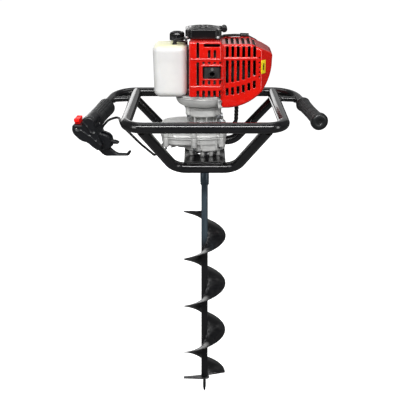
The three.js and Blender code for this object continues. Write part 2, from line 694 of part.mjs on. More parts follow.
function fuelTank() {
  const corner = 16;
  const [x, y] = TANK_CENTRE;
  const wall = 3;
  const outer = prism(roundedRectangle(TANK_WIDTH, TANK_DEPTH, corner), TANK_BOTTOM_Z, TANK_TOP_Z, 4);
  const inner = prism(
    roundedRectangle(TANK_WIDTH - 2 * wall, TANK_DEPTH - 2 * wall, corner - wall),
    TANK_FLOOR_Z, TANK_TOP_Z - wall, 4,
  );
  const shell = cut(outer.translate(x, y, 0), inner.translate(x, y, 0));
  const neck = rod(11, TANK_TOP_Z - 1, TANK_TOP_Z + 14).translate(FILLER_X, 0, 0);
  const filler = rod(8.5, TANK_TOP_Z - 10, TANK_TOP_Z + 20).translate(FILLER_X, 0, 0);
  const outlet = alongY(rod(2.2, 30, 60, 12)).translate(-66, 0, 762);
  const notchTop = DECK_Z + DECK_THICKNESS + GAP;
  const bowlNotch = rod(FLANGE_RADIUS + 1.5, TANK_BOTTOM_Z - 5, notchTop, 22).translate(ENGINE_X, 0, 0);
  return cut(join(shell, neck), filler, outlet, bowlNotch);
}

function fuelCap() {
  const bottom = TANK_TOP_Z + 6;
  return turned([
    [11.5, bottom], [17.5, bottom], [17.5, bottom + 16], [14, bottom + 20], [0, bottom + 20],
    [0, bottom + 16], [11.5, bottom + 16],
  ]);
}

function carburettor() {
  const body = block(-20, 14, 38, 70, 774, 806);
  const bowl = rod(13, 764, 776).translate(-3, 54, 0);
  const mount = block(-20, 14, 31.5, 39, 780, 802);
  const throat = alongY(rod(8, 20, 80, 20)).translate(-3, 0, CRANK_Z);
  return cut(join(body, bowl, mount), throat, rod(CRANKCASE_RADIUS + GAP, 700, 900, 22));
}

function chokeLever() {
  const plate = polygon([[-5, -5], [5, -5], [5, 0], [4, 22], [-4, 22], [-5, 0]]);
  return prism(plate, -1.5, 1.5).rotateX(Math.PI / 2).rotateZ(Math.PI / 2);
}

function airFilterHousing() {
  const box = prism(roundedRectangle(82, 38, 10), 762, 846, 4);
  const hollow = prism(roundedRectangle(77, 33, 8), 764.5, 843.5, 4);
  const mouth = alongY(rod(9, -30, 0, 20)).translate(0, 0, CRANK_Z);
  return cut(box, hollow, mouth);
}

function starterHousing() {
  const wall = 2.2;
  const lip = STARTER_RADIUS - wall;
  const shell = turned([
    [lip, STARTER_Z], [STARTER_RADIUS, STARTER_Z], [STARTER_RADIUS, STARTER_TOP_Z - 5],
    [STARTER_RADIUS - 6, STARTER_TOP_Z], [0, STARTER_TOP_Z], [0, 887], [4, 887],
    [4, STARTER_TOP_Z - wall], [lip - 5, STARTER_TOP_Z - wall], [lip, STARTER_TOP_Z - 6],
  ], 22);
  const ropeSlot = alongX(rod(3.5, 15, 60, 12)).translate(0, PULLEY_GROOVE_RADIUS, ROPE_Z);
  return cut(shell, ropeSlot);
}

function starterPulley() {
  const rim = PULLEY_GROOVE_RADIUS + 3.5;
  return turned([
    [4.4, 890], [rim, 890], [rim, 893], [PULLEY_GROOVE_RADIUS - 2.5, 894.5],
    [PULLEY_GROOVE_RADIUS - 2.5, 897.5], [rim, 899], [rim, 901], [4.4, 901],
  ]);
}

function starterHandle() {
  const half = 17;
  const grip = turned([
    [0, -half], [5.5, -half], [7.5, -half + 4], [6.6, 0], [7.5, half - 4], [5.5, half], [0, half],
  ], 12);
  return alongY(grip);
}

function mainBearing(bottom) {
  const width = 11.4;
  return sleeve(MAIN_BEARING_RADIUS, CRANK_JOURNAL + GAP, bottom, bottom + width);
}

function buildEngine() {
  const engine = groupAt(ENGINE_X, 0, 0);
  const clutch = groupAt(0, 0, 0, engine);
  const hubBottom = SHOE_Z + 1;
  const hubTop = SHOE_Z + SHOE_HEIGHT - 1;
  const guideReach = SHOE_RADIUS - 2;
  const guide = block(-3.5, 3.5, -guideReach, guideReach, hubBottom, hubTop);
  const hub = join(rod(17.5, hubBottom, hubTop), guide);
  add(clutch, 'clutch_hub', 'steel', cut(hub, rod(CRANK_JOURNAL + GAP, hubBottom - 5, hubTop + 5, 12)));
  add(clutch, 'clutch_shoe_right', 'lining', clutchShoe(1));
  add(clutch, 'clutch_shoe_left', 'lining', clutchShoe(-1));
  const bowlMouth = 42;
  const bowlRim = FLANGE_RADIUS + 1;
  const bowl = turned([
    [bowlMouth, BOWL_Z + GAP], [bowlMouth + 4, BOWL_Z + GAP], [bowlRim - 7, BOWL_Z + 5],
    [bowlRim - 1, BOWL_Z + 13], [bowlRim, DECK_Z - GAP], [bowlRim - 3, DECK_Z - GAP],
    [bowlRim - 4, BOWL_Z + 14], [bowlRim - 9, BOWL_Z + 7.5], [bowlMouth, BOWL_Z + 3],
  ], 22);
  add(engine, 'blower_housing', 'casting', bowl);
  add(engine, 'flywheel', 'casting', flywheel());
  add(engine, 'crankcase', 'casting', crankcase());
  add(engine, 'main_bearing_lower', 'steel', mainBearing(DECK_Z + 5.3));
  add(engine, 'main_bearing_upper', 'steel', mainBearing(CRANK_Z + 26.5));
  add(engine, 'crankshaft', 'steel', crankshaft());
  add(engine, 'cylinder', 'casting', cylinder());
  add(engine, 'piston', 'casting', piston());
  add(engine, 'wrist_pin', 'steel', rod(WRIST_PIN_RADIUS, -14, 14, 12).translate(WRIST_PIN_X, 0, CRANK_Z));
  add(engine, 'connecting_rod', 'steel', connectingRod());
  add(engine, 'spark_plug', 'steel', sparkPlug());
  add(engine, 'plug_boot', 'rubber', plugBoot());
  add(engine, 'carburettor', 'casting', carburettor());

  const bodywork = groupAt(0, 0, 0);
  add(bodywork, 'muffler', 'black', muffler());
  add(bodywork, 'cooling_shroud', 'red', shroud());
  add(bodywork, 'fuel_tank', 'clear', fuelTank());
  add(bodywork, 'fuel_cap', 'black', fuelCap()).position.set(FILLER_X, 0, 0);
  const filter = groupAt(-3, 97, 0, bodywork);
  add(filter, 'air_filter_housing', 'black', airFilterHousing());
  add(filter, 'air_filter_element', 'foam', block(-34, 34, -3, 15, 768, 840));
  const fuelRun = [[-66, 47, 762], [-66, 58, 762], [-40, 62, 766], [-30, 56, 780], [-26.5, 56, 784]];
  add(bodywork, 'fuel_line', 'rubber', tube(new BentLine(fuelRun, 6, 2), 3, 1, 6));
  add(bodywork, 'choke_lever', 'black', chokeLever()).position.set(-25.5, 56, 800);

  const starter = groupAt(ENGINE_X, 0, 0, bodywork);
  add(starter, 'starter_housing', 'black', starterHousing());
  add(starter, 'starter_pulley', 'black', starterPulley());
  const handleX = 48;
  const handle = add(starter, 'starter_handle', 'black', starterHandle());
  handle.position.set(handleX, PULLEY_GROOVE_RADIUS, ROPE_Z);
  const rope = alongX(rod(ROPE_RADIUS, 2, handleX - 8, 8));
  add(starter, 'starter_rope', 'rubber', rope).position.set(0, PULLEY_GROOVE_RADIUS, ROPE_Z);
}

// ---- Frame ---------------------------------------------------------------------------------------
const mirrored = (corners) => corners.map(([x, y, z]) => [-x, y, z]).reverse();

// The right half of a frame tube, from its middle outwards, completed by its mirror image.
function symmetricLine(rightHalf, bendRadius) {
  return new BentLine([...mirrored(rightHalf), ...rightHalf], bendRadius);
}

const HANDLE_LINE = symmetricLine([HANDLE_CORNER, HANDLE_END], 62);
const LOOP_LINE = symmetricLine(
  [[LOOP_FRONT_X, LOOP_FRONT_Y, LOOP_FRONT_Z], [LOOP_REAR_X, RAIL_Y, RAIL_Z]], 42,
);
const FRONT_TUBE_LINE = symmetricLine([[69, -80, 588.6], [139, -183, 697]], 42);
const REAR_TUBE_LINE = symmetricLine([[70, 90, 617], [170, 110, 718]], 38);

function buildFrame() {
  const frame = groupAt(0, 0, 0);
  const railCutter = solidBar(HANDLE_LINE, HANDLE_TUBE + GAP);
  const loopCutter = solidBar(LOOP_LINE, LOOP_TUBE + GAP);
  add(frame, 'handlebar', 'black', tube(HANDLE_LINE, HANDLE_TUBE));
  add(frame, 'front_loop', 'black', cut(tube(LOOP_LINE, LOOP_TUBE), railCutter));
  add(frame, 'lower_front_tube', 'black', cut(tube(FRONT_TUBE_LINE, LOOP_TUBE), loopCutter));
  const rearTube = cut(tube(REAR_TUBE_LINE, HANDLE_TUBE), loopCutter, railCutter);
  add(frame, 'lower_rear_tube', 'black', rearTube);
  for (const [name, side] of [['gusset_left', -1], ['gusset_right', 1]]) {
    const line = new BentLine([[side * 167, 57, 725.5], [side * 224, 57, 723]], 1);
    add(frame, name, 'black', cut(tube(line, GUSSET_TUBE, 1.2, 10), loopCutter, railCutter));
  }
  const plate = prism(roundedRectangle(96, 200, 8), PLATE_Z, PLATE_Z + PLATE_THICKNESS, 3);
  add(frame, 'mount_plate', 'black', cut(plate.translate(0, 5, 0), rod(18, 590, 620)));
}

// ---- Handles and controls ------------------------------------------------------------------------
// A handle's own frame: its origin is on the tube's axis at the grip's inner end, its Z runs along
// the tube to the free end, and its Y points up.
function handleGroup(side) {
  const corner = new THREE.Vector3(side * HANDLE_CORNER[0], HANDLE_CORNER[1], HANDLE_CORNER[2]);
  const end = new THREE.Vector3(side * HANDLE_END[0], HANDLE_END[1], HANDLE_END[2]);
  const along = end.clone().sub(corner);
  const share = (HANDLE_CORNER[1] - GRIP_START_Y) / (HANDLE_CORNER[1] - HANDLE_END[1]);
  const origin = corner.clone().addScaledVector(along, share);
  along.normalize();
  const across = new THREE.Vector3(0, 0, 1).cross(along).normalize();
  const up = along.clone().cross(across);
  const group = new THREE.Group();
  group.quaternion.setFromRotationMatrix(new THREE.Matrix4().makeBasis(across, up, along));
  group.position.copy(origin);
  auger.add(group);
  return group;
}

const GRIP_END_RADIUS = 20.5;

function rightGrip() {
  const bore = HANDLE_TUBE + GAP;
  const vent = 4;
  const end = 124.4;
  return turned([
    [bore, 0], [15, 0], [17, 4], [16, 30], [16, 112], [GRIP_END_RADIUS, 116], [GRIP_END_RADIUS, end - 0.4],
    [vent, end + 1.1], [vent, end], [bore, end],
  ]);
}

const LEFT_GRIP_LENGTH = 92;
const GRIP_DROP = 7;                // the throttle-side grip is fatter below the tube than above it

function leftGrip() {
  const sleeveBody = rod(GRIP_END_RADIUS, 0, LEFT_GRIP_LENGTH, 20).translate(0, -GRIP_DROP, 0);
  return cut(sleeveBody, rod(HANDLE_TUBE + GAP, -5, LEFT_GRIP_LENGTH + 5));
}

const SWITCH_PIVOT = [-31, -3];
const TRIGGER_PIVOT = [32, -38];

function throttleHousing() {
  const shell = new THREE.Shape();
  shell.absarc(0, 0, 16, -0.36, Math.PI * 0.75);
  for (const [x, y] of [
    [-17, -4], [-38, -4], [-40.5, -16], [-39.5, -22], [-32, -32.5], [-24, -40], [-17, -43.5], [-8, -45.5],
    [4.5, -55.5], [17, -64], [26, -60], [30, -48], [24, -36], [21, -24],
  ]) shell.lineTo(x, y);
  const guard = polygon([
    [3, -54], [12, -69], [22, -79], [31.5, -84], [85, -80.5], [91, -71], [88, -67.5], [84.5, -68.5],
    [80, -75], [60, -75.5], [50, -70], [42, -64], [30, -50], [6, -44],
  ]);
  const cheek = polygon([
    [12, -24], [30, -27], [40, -31], [46, -38], [47, -50], [46, -60], [30, -66], [10, -50],
  ]);
  const front = LEFT_GRIP_LENGTH + 46;
  const back = LEFT_GRIP_LENGTH + 0.5;
  const body = join(
    prism(shell, back, front, 6),
    prism(guard, back + 17, back + 28),
    prism(cheek, back + 10, front - 12),
  );
  const [pivotX, pivotY] = TRIGGER_PIVOT;
  return cut(
    body,
    rod(HANDLE_TUBE + GAP, back - 1, back + 33),
    alongX(rod(9.8, -7.5, 7.5)).translate(SWITCH_PIVOT[0], SWITCH_PIVOT[1], back + 22),
    rod(10, back + 16.4, back + 28.6, 20).translate(pivotX, pivotY, 0),
    block(22, 60, -64, -26, back + 16.4, back + 28.6),
  );
}

function throttleTrigger() {
  const [x, y] = TRIGGER_PIVOT;
  const lever = polygon([
    [x - 2, y - 5], [x + 2, y + 4], [x + 8, y + 3], [x + 13, y - 2], [x + 16, y - 6], [x + 23, y - 6.5],
    [x + 31, y - 10], [x + 32, y - 12], [x + 28, y - 14.5], [x + 17, y - 15], [x + 16, y - 20],
    [x + 12, y - 23], [x + 4, y - 23.5], [x - 3, y - 19], [x - 4.5, y - 8],
  ]);
  const eye = rod(5, 0, 1, 12);
  eye.scale(1, 1, 11).translate(x, y, -5.5);
  const pinHole = rod(1.8, -10, 10, 10).translate(x, y, 0);
  return cut(join(prism(lever, -5.5, 5.5), eye), pinHole).translate(-x, -y, 0);
}

function stopSwitch() {
  const rocker = new THREE.Shape();
  rocker.absarc(0, 0, 9, Math.PI, Math.PI * 2);
  rocker.lineTo(9, 4);
  rocker.lineTo(13, 5);
  rocker.lineTo(13, 10);
  rocker.lineTo(0, 8.5);
  rocker.lineTo(-13, 10);
  rocker.lineTo(-13, 5);
  rocker.lineTo(-9, 4);
  return prism(rocker, -6.5, 6.5, 8).rotateY(Math.PI / 2);
}

function buildControls() {
  add(handleGroup(1), 'right_grip', 'rubber', rightGrip());
  const left = handleGroup(-1);
  add(left, 'left_grip', 'rubber', leftGrip());
  add(left, 'throttle_housing', 'black', throttleHousing());
  const middle = LEFT_GRIP_LENGTH + 23;
  add(left, 'throttle_trigger', 'black', throttleTrigger()).position.set(...TRIGGER_PIVOT, middle);
  add(left, 'stop_switch', 'red', stopSwitch()).position.set(...SWITCH_PIVOT, middle - 0.5);

  const run = [
    [-244, -52.3, 671.4], [-228, 6, 682], [-212, 22, 688], [-200, -10, 691], [-190, -100, 694],
    [-147, -100, 650], [-117, -60, 614], [-104, 0, 606], [-100, 40, 616], [-84, 76, 640], [-50, 82, 645],
    [50, 82, 645],
    [76, 86, 662], [78, 86, 745], [40, 82, 752], [18.5, 60, 790],
  ];
  add(auger, 'throttle_cable', 'rubber', solidBar(new BentLine(run, 7, 2), 2.8, 6));
}

buildBit();
buildGearbox();
buildEngine();
buildFrame();
buildControls();

export default auger;
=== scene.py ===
"""The looks of a petrol ice fishing auger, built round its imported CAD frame.

Everything is laid out in millimetres, in the frame's own axes, and turned into metres when a mesh is made.
Bent tubes, turned parts and fasteners are lofted. Cast and moulded parts are signed distance forms, which
are meshed on a fine grid and then pulled exactly onto their surface.
"""
import json
import math

import bpy
import numpy as np
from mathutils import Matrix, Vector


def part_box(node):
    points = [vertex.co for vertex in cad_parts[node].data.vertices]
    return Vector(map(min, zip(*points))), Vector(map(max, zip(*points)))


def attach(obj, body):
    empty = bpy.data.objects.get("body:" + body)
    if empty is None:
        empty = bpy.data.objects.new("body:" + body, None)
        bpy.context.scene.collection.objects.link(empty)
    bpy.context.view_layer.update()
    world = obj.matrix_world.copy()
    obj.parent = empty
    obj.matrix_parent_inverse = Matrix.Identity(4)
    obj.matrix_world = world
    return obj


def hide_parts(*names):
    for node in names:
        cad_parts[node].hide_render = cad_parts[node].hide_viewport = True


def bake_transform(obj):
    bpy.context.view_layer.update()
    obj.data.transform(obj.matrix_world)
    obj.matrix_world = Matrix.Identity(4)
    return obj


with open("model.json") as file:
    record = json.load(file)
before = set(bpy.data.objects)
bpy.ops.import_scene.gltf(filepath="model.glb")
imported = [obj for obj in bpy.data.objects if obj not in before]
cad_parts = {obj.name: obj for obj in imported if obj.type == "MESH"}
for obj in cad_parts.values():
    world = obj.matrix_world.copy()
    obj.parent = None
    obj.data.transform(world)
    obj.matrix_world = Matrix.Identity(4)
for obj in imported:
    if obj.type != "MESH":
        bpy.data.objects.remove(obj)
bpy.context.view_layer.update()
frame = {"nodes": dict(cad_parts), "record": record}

import openvdb
from mathutils import Vector

MM = 0.001
TAU = 2 * math.pi
COARSE = 1.0
FAR = 12.0                            # distance stored where no form is near, mm
NEAR_MARGIN = 3                       # how far round its box a form still counts, mm
GRID_MARGIN = 3                       # empty grid cells kept round a form
SLAB = 12                             # grid layers worked out at once
NEWTON_STEPS = 2
LONGEST_MOVE = 0.6                    # of a grid cell, in one Newton step
LEAST_SLOPE = 0.25                    # square of the least gradient trusted in a Newton step

LOOKS = {}                            # look name -> material


def corner(node, end):
    """The lowest (end 0) or highest (end 1) corner of a CAD node, in millimetres."""
    return np.array(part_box(node)[end]) / MM


# ---- Levels and axes, read from the frame ------------------------------------------------------------
ENGINE_X = (corner("flywheel", 0)[0] + corner("flywheel", 1)[0]) / 2
LAY_X = (corner("layshaft_gear", 0)[0] + corner("layshaft_gear", 1)[0]) / 2
CASE_BOTTOM = 618.0
CASE_TOP = 684.0
CASE_SPLIT = corner("gearcase_lower", 1)[2]
LOBE_BOTTOM = 633.0
CASE_RADIUS = 50.0
FLANGE_Z = 700.0
BOWL_Z = corner("gearcase_upper", 1)[2]
DECK_Z = corner("crankcase", 0)[2]
PLATE_LOW = corner("mount_plate", 0)
PLATE_HIGH = corner("mount_plate", 1)
SHROUD_LOW = corner("cooling_shroud", 0)
SHROUD_HIGH = corner("cooling_shroud", 1)
TANK_LOW = corner("fuel_tank", 0)
TANK_HIGH = corner("fuel_tank", 1)
CAP_LOW = corner("fuel_cap", 0)
CAP_HIGH = corner("fuel_cap", 1)
STARTER_LOW = corner("starter_housing", 0)
STARTER_HIGH = corner("starter_housing", 1)
HANDLE_TUBE = 11.0
LOOP_TUBE = 12.5
GUSSET_TUBE = 6.5


# ---- Distance forms -----------------------------------------------------------------------------------
class Form:
    """A solid as a signed distance in millimetres, negative inside, with the box that holds it."""

    def __init__(self, distance, low, high):
        self.distance = distance
        self.low = np.array(low, float)
        self.high = np.array(high, float)

    def near(self, points, margin):
        return np.all((points > self.low - margin) & (points < self.high + margin), axis=1)


def soft_min(a, b, blend):
    if blend <= 0:
        return np.minimum(a, b)
    share = np.maximum(blend - np.abs(a - b), 0) / blend
    return np.minimum(a, b) - share * share * blend / 4


def unite(forms, blend=0.0):
    def distance(points):
        total = np.full(len(points), FAR)
        for form in forms:
            near = form.near(points, blend + NEAR_MARGIN)
            if near.any():
                total[near] = soft_min(total[near], form.distance(points[near]), blend)
        return total

    low = np.min([form.low for form in forms], axis=0)
    high = np.max([form.high for form in forms], axis=0)
    return Form(distance, low, high)


def carve(base, cutters, blend=0.0):
    def distance(points):
        total = base.distance(points)
        for cutter in cutters:
            near = cutter.near(points, blend + NEAR_MARGIN)
            if near.any():
                total[near] = -soft_min(-total[near], cutter.distance(points[near]), blend)
        return total

    return Form(distance, base.low, base.high)


def overlap(base, other, blend=0.0):
    def distance(points):
        return -soft_min(-base.distance(points), -other.distance(points), blend)

    return Form(distance, np.maximum(base.low, other.low), np.minimum(base.high, other.high))


def brick(low, high, fillet=0.0):
    low, high = np.array(low, float), np.array(high, float)
    centre, half = (low + high) / 2, (high - low) / 2

    def distance(points):
        gap = np.abs(points - centre) - (half - fillet)
        outside = np.sqrt((np.maximum(gap, 0) ** 2).sum(axis=1))
        return outside + np.minimum(gap.max(axis=1), 0) - fillet

    return Form(distance, low, high)


def rounded_pair(side, end, fillet):
    """Joins the distances to a side wall and to an end face with a round edge."""
    side, end = side + fillet, end + fillet
    outside = np.hypot(np.maximum(side, 0), np.maximum(end, 0))
    return outside + np.minimum(np.maximum(side, end), 0) - fillet


def rod(start, end, radius, fillet=0.0, tip=None):
    start, end = np.array(start, float), np.array(end, float)
    length = np.linalg.norm(end - start)
    axis = (end - start) / length
    tip = radius if tip is None else tip

    def distance(points):
        offset = points - start
        along = offset @ axis
        away = np.sqrt(np.maximum((offset ** 2).sum(axis=1) - along ** 2, 0))
        reach = radius + (tip - radius) * np.clip(along / length, 0, 1)
        return rounded_pair(away - reach, np.abs(along - length / 2) - length / 2, fillet)

    widest = max(radius, tip)
    return Form(distance, np.minimum(start, end) - widest, np.maximum(start, end) + widest)


def post(x, low, high, radius, fillet=0.0, y=0.0, tip=None):
    """An upright rod at x, y."""
    return rod((x, y, low), (x, y, high), radius, fillet, tip)


def posts(places, low, high, radius, fillet=0.0, tip=None):
    return [post(x, low, high, radius, fillet, y, tip) for x, y in places]


def capsule(start, end, radius):
    start, end = np.array(start, float), np.array(end, float)
    edge = end - start

    def distance(points):
        offset = points - start
        share = np.clip(offset @ edge / (edge @ edge), 0, 1)
        return np.linalg.norm(offset - share[:, None] * edge, axis=1) - radius

    return Form(distance, np.minimum(start, end) - radius, np.maximum(start, end) + radius)


class Outline:
    """Signed distance to a closed polygon, tabulated on a fine grid so that looking it up is quick."""

    CELL = 0.4
    PAD = 8.0

    def __init__(self, points):
        corners = np.array(points, float)
        self.low, self.high = corners.min(axis=0), corners.max(axis=0)
        self.start = self.low - self.PAD
        self.count = np.ceil((self.high - self.low + 2 * self.PAD) / self.CELL).astype(int) + 2
        u, v = (self.start[k] + self.CELL * np.arange(self.count[k]) for k in (0, 1))
        place = np.stack(np.meshgrid(u, v, indexing="ij"), axis=-1).reshape(-1, 2)
        square = np.full(len(place), np.inf)
        inside = np.zeros(len(place), bool)
        for a, b in zip(corners, np.roll(corners, -1, axis=0)):
            edge = b - a
            share = np.clip((place - a) @ edge / (edge @ edge), 0, 1)
            gap = place - a - share[:, None] * edge
            square = np.minimum(square, (gap ** 2).sum(axis=1))
            if a[1] != b[1]:
                crossed = (a[1] > place[:, 1]) != (b[1] > place[:, 1])
                inside ^= crossed & (place[:, 0] < a[0] + (place[:, 1] - a[1]) / (b[1] - a[1]) * edge[0])
        self.table = np.where(inside, -1, 1) * np.sqrt(square)
        self.table = self.table.reshape(self.count)

    def __call__(self, u, v):
        x = np.clip((u - self.start[0]) / self.CELL, 0, self.count[0] - 1.001)
        y = np.clip((v - self.start[1]) / self.CELL, 0, self.count[1] - 1.001)
        i, j = x.astype(int), y.astype(int)
        x, y = x - i, y - j
        t = self.table
        near = t[i, j] * (1 - x) + t[i + 1, j] * x
        return near * (1 - y) + (t[i, j + 1] * (1 - x) + t[i + 1, j + 1] * x) * y


def prism(outline, low, high, fillet=0.0, axis=2):
    """An outline in the two other axes, in X, Y, Z order, raised along one axis."""
    first, second = [k for k in (0, 1, 2) if k != axis]

    def distance(points):
        side = outline(points[:, first], points[:, second])
        end = np.abs(points[:, axis] - (low + high) / 2) - (high - low) / 2
        return rounded_pair(side, end, fillet)

    box_low, box_high = np.zeros(3), np.zeros(3)
    box_low[[first, second]], box_high[[first, second]] = outline.low, outline.high
    box_low[axis], box_high[axis] = low, high
    return Form(distance, box_low, box_high)


def turned(profile, x=0.0, y=0.0):
    """A solid of revolution about the upright axis through x, y, from a closed (radius, height) outline."""
    outline = Outline(profile)
    widest = outline.high[0]

    def distance(points):
        return outline(np.hypot(points[:, 0] - x, points[:, 1] - y), points[:, 2])

    return Form(distance, (x - widest, y - widest, outline.low[1]),
                (x + widest, y + widest, outline.high[1]))


def arc(centre, radius, start, end, count=14):
    angles = np.linspace(start, end, count)
    return [(centre[0] + radius * math.cos(a), centre[1] + radius * math.sin(a)) for a in angles]


def round_box(low, high, radius, count=8):
    """A rectangle with round corners, as an outline."""
    points = []
    for k, (sx, sy) in enumerate([(1, 1), (-1, 1), (-1, -1), (1, -1)]):
        centre = ((low[0], high[0])[sx > 0] - sx * radius, (low[1], high[1])[sy > 0] - sy * radius)
        points += arc(centre, radius, k * math.pi / 2, (k + 1) * math.pi / 2, count)
    return points


def sample(form, low, step, count):
    """The form's distance on a grid, worked out in slabs."""
    values = np.empty(count, np.float32)
    y, z = (low[k] + step * np.arange(count[k]) for k in (1, 2))
    for start in range(0, count[0], SLAB):
        x = low[0] + step * np.arange(start, min(start + SLAB, count[0]))
        points = np.stack(np.meshgrid(x, y, z, indexing="ij"), axis=-1).reshape(-1, 3)
        values[start:start + SLAB] = form.distance(points).reshape(len(x), count[1], count[2])
    return values


def slope(form, points, reach=0.05):
    """The distance's gradient at some points, and the distance."""
    sides = []
    for k in range(3):
        shift = np.zeros(3)
        shift[k] = reach
        sides.append((form.distance(points + shift) - form.distance(points - shift)) / (2 * reach))
    return np.stack(sides, axis=1), form.distance(points)


def mesh_form(form, step):
    """Vertices and quads on a form's surface. The grid gives the faces, and Newton steps the places."""
    step = step * COARSE
    low = form.low - GRID_MARGIN * step
    count = np.ceil((form.high - form.low) / step).astype(int) + 2 * GRID_MARGIN + 1
    grid = openvdb.FloatGrid(float(FAR))
    grid.copyFromArray(np.clip(sample(form, low, step, count), -FAR, FAR))
    points, quads = grid.convertToQuads(isovalue=0.0)
    points = low + points.astype(float) * step
    for _ in range(NEWTON_STEPS):
        gradient, value = slope(form, points)
        size = np.maximum((gradient ** 2).sum(axis=1), LEAST_SLOPE)
        move = gradient * (value / size)[:, None]
        length = np.linalg.norm(move, axis=1)
        points -= move * np.minimum(1, step * LONGEST_MOVE / np.maximum(length, 1e-9))[:, None]
    return points, quads[:, ::-1]


# ---- Lofted meshes ------------------------------------------------------------------------------------
def loft(rings, closed=False):
    """Quads between equal rings of points, with a face over each end unless the loft closes on itself."""
    rings = np.array(rings, float)
    count, size = rings.shape[:2]
    faces = []
    for k in range(count if closed else count - 1):
        here, there = k * size, ((k + 1) % count) * size
        for i in range(size):
            j = (i + 1) % size
            faces.append((here + i, here + j, there + j, there + i))
    if not closed:
        faces.append(tuple(range(size - 1, -1, -1)))
        faces.append(tuple(range((count - 1) * size, count * size)))
    return rings.reshape(-1, 3), faces


def merged(parts):
    """Several meshes as one."""
    points, faces, base = [], [], 0
    for part_points, part_faces in parts:
        points.append(np.array(part_points, float))
        faces += [tuple(base + i for i in face) for face in part_faces]
        base += len(part_points)
    return np.concatenate(points), faces


def basis(axis, hint=(0.0, 0.0, 1.0)):
    """Two unit vectors square to an axis: across it, and up along the hint."""
    axis = np.array(axis, float) / np.linalg.norm(axis)
    hint = np.array(hint, float)
    if abs(axis @ hint) > 0.95:
        hint = np.array([0.0, 1.0, 0.0])
    across = np.cross(hint, axis)
    across /= np.linalg.norm(across)
    return across, np.cross(axis, across)


def bent_path(corners, radius, gap=3.0):
    """Points along a centre line of straight runs joined by round bends."""
    corners = np.array(corners, float)
    points = [corners[0]]
    for before, here, after in zip(corners, corners[1:], corners[2:]):
        come = (here - before) / np.linalg.norm(here - before)
        go = (after - here) / np.linalg.norm(after - here)
        angle = math.acos(float(np.clip(come @ go, -1, 1)))
        start = here - come * radius * math.tan(angle / 2)
        inward = go - come * (come @ go)
        inward /= np.linalg.norm(inward)
        steps = max(3, int(radius * angle / gap))
        for turn in np.linspace(0, angle, steps + 1):
            points.append(start + come * radius * math.sin(turn) + inward * radius * (1 - math.cos(turn)))
    points.append(corners[-1])
    return np.array(points)


def subdivided(path, gap):
    """The same path with a point at least every gap."""
    points = [path[0]]
    for a, b in zip(path, path[1:]):
        steps = max(1, int(np.linalg.norm(b - a) / gap))
        points += [a + (b - a) * k / steps for k in range(1, steps + 1)]
    return np.array(points)


def frames_along(path, closed=False):
    """A direction and two cross vectors at each point, turned as little as possible from one to the next."""
    ahead = np.roll(path, -1, axis=0) - path
    behind = path - np.roll(path, 1, axis=0)
    if not closed:
        ahead[-1], behind[0] = behind[-1], ahead[0]
    ahead /= np.linalg.norm(ahead, axis=1)[:, None]
    behind /= np.linalg.norm(behind, axis=1)[:, None]
    direction = ahead + behind
    direction /= np.linalg.norm(direction, axis=1)[:, None]
    across, _ = basis(direction[0])
    frames = []
    for d in direction:
        across = across - d * (across @ d)
        across /= np.linalg.norm(across)
        frames.append((across, np.cross(d, across)))
    return frames


def sweep(path, radius, sides=32, closed=False):
    """A round bar along a path. The radius is a number or a function of the place along it, 0 to 1."""
    angles = np.linspace(0, TAU, sides, endpoint=False)
    rings = []
    for k, (point, (u, v)) in enumerate(zip(path, frames_along(path, closed))):
        r = radius(k / (len(path) - 1)) if callable(radius) else radius
        rings.append(point + r * (np.cos(angles)[:, None] * u + np.sin(angles)[:, None] * v))
    return loft(rings, closed)


def bent_tube(corners, bend, gap, step, radius, sides):
    """A round bar along straight runs that are joined by round bends."""
    return sweep(subdivided(bent_path(corners, bend, gap), step), radius, sides)


def turned_rings(profile, origin, axis, sides=48, shape=None, closed=False):
    """A loft round an axis. The profile is (radius, height) pairs; shape(k, angle) may scale a ring."""
    origin, axis = np.array(origin, float), np.array(axis, float) / np.linalg.norm(axis)
    u, v = basis(axis)
    angles = np.linspace(0, TAU, sides, endpoint=False)
    rings = []
    for k, (radius, height) in enumerate(profile):
        r = radius * (shape(k, angles) if shape else np.ones(sides))
        spoke = np.cos(angles)[:, None] * u + np.sin(angles)[:, None] * v
        rings.append(origin + axis * height + r[:, None] * spoke)
    return loft(rings, closed)


def hexagon(angles):
    """The radius of a hexagon with unit flats, at each angle."""
    return 1 / np.cos((angles + math.pi / 6) % (math.pi / 3) - math.pi / 6)


WASHER = 1.3            # thickness of a bolt's washer


def hex_bolt(origin, axis, flats, height, washer=0.0):
    """A hexagon head with a chamfered crown, on an optional washer of its own radius."""
    half = flats / 2
    profile, hexed = [], []
    if washer:
        profile += [(washer, 0), (washer, 1.0), (washer - 0.3, WASHER)]
        hexed += [0, 0, 0]
    base = WASHER if washer else 0.0
    top = base + height
    profile += [(half, base), (half, base + height * 0.82), (half * 0.97, top), (0.01, top)]
    hexed += [1, 1, 0, 0]
    return turned_rings(profile, origin, axis, 24, lambda k, a: hexagon(a) if hexed[k] else np.ones(len(a)))


def socket_screw(origin, axis, radius, height):
    """A round head with a hexagon socket."""
    inner = radius * 0.5
    profile = [(radius * 0.94, 0), (radius, height * 0.1), (radius, height * 0.85), (radius * 0.9, height),
               (inner * 1.05, height), (inner, height * 0.93), (inner, height * 0.35), (0.01, height * 0.3)]
    socket = lambda k, a: hexagon(a) * 0.93 if 4 <= k <= 6 else np.ones(len(a))
    return turned_rings(profile, origin, axis, 24, socket)


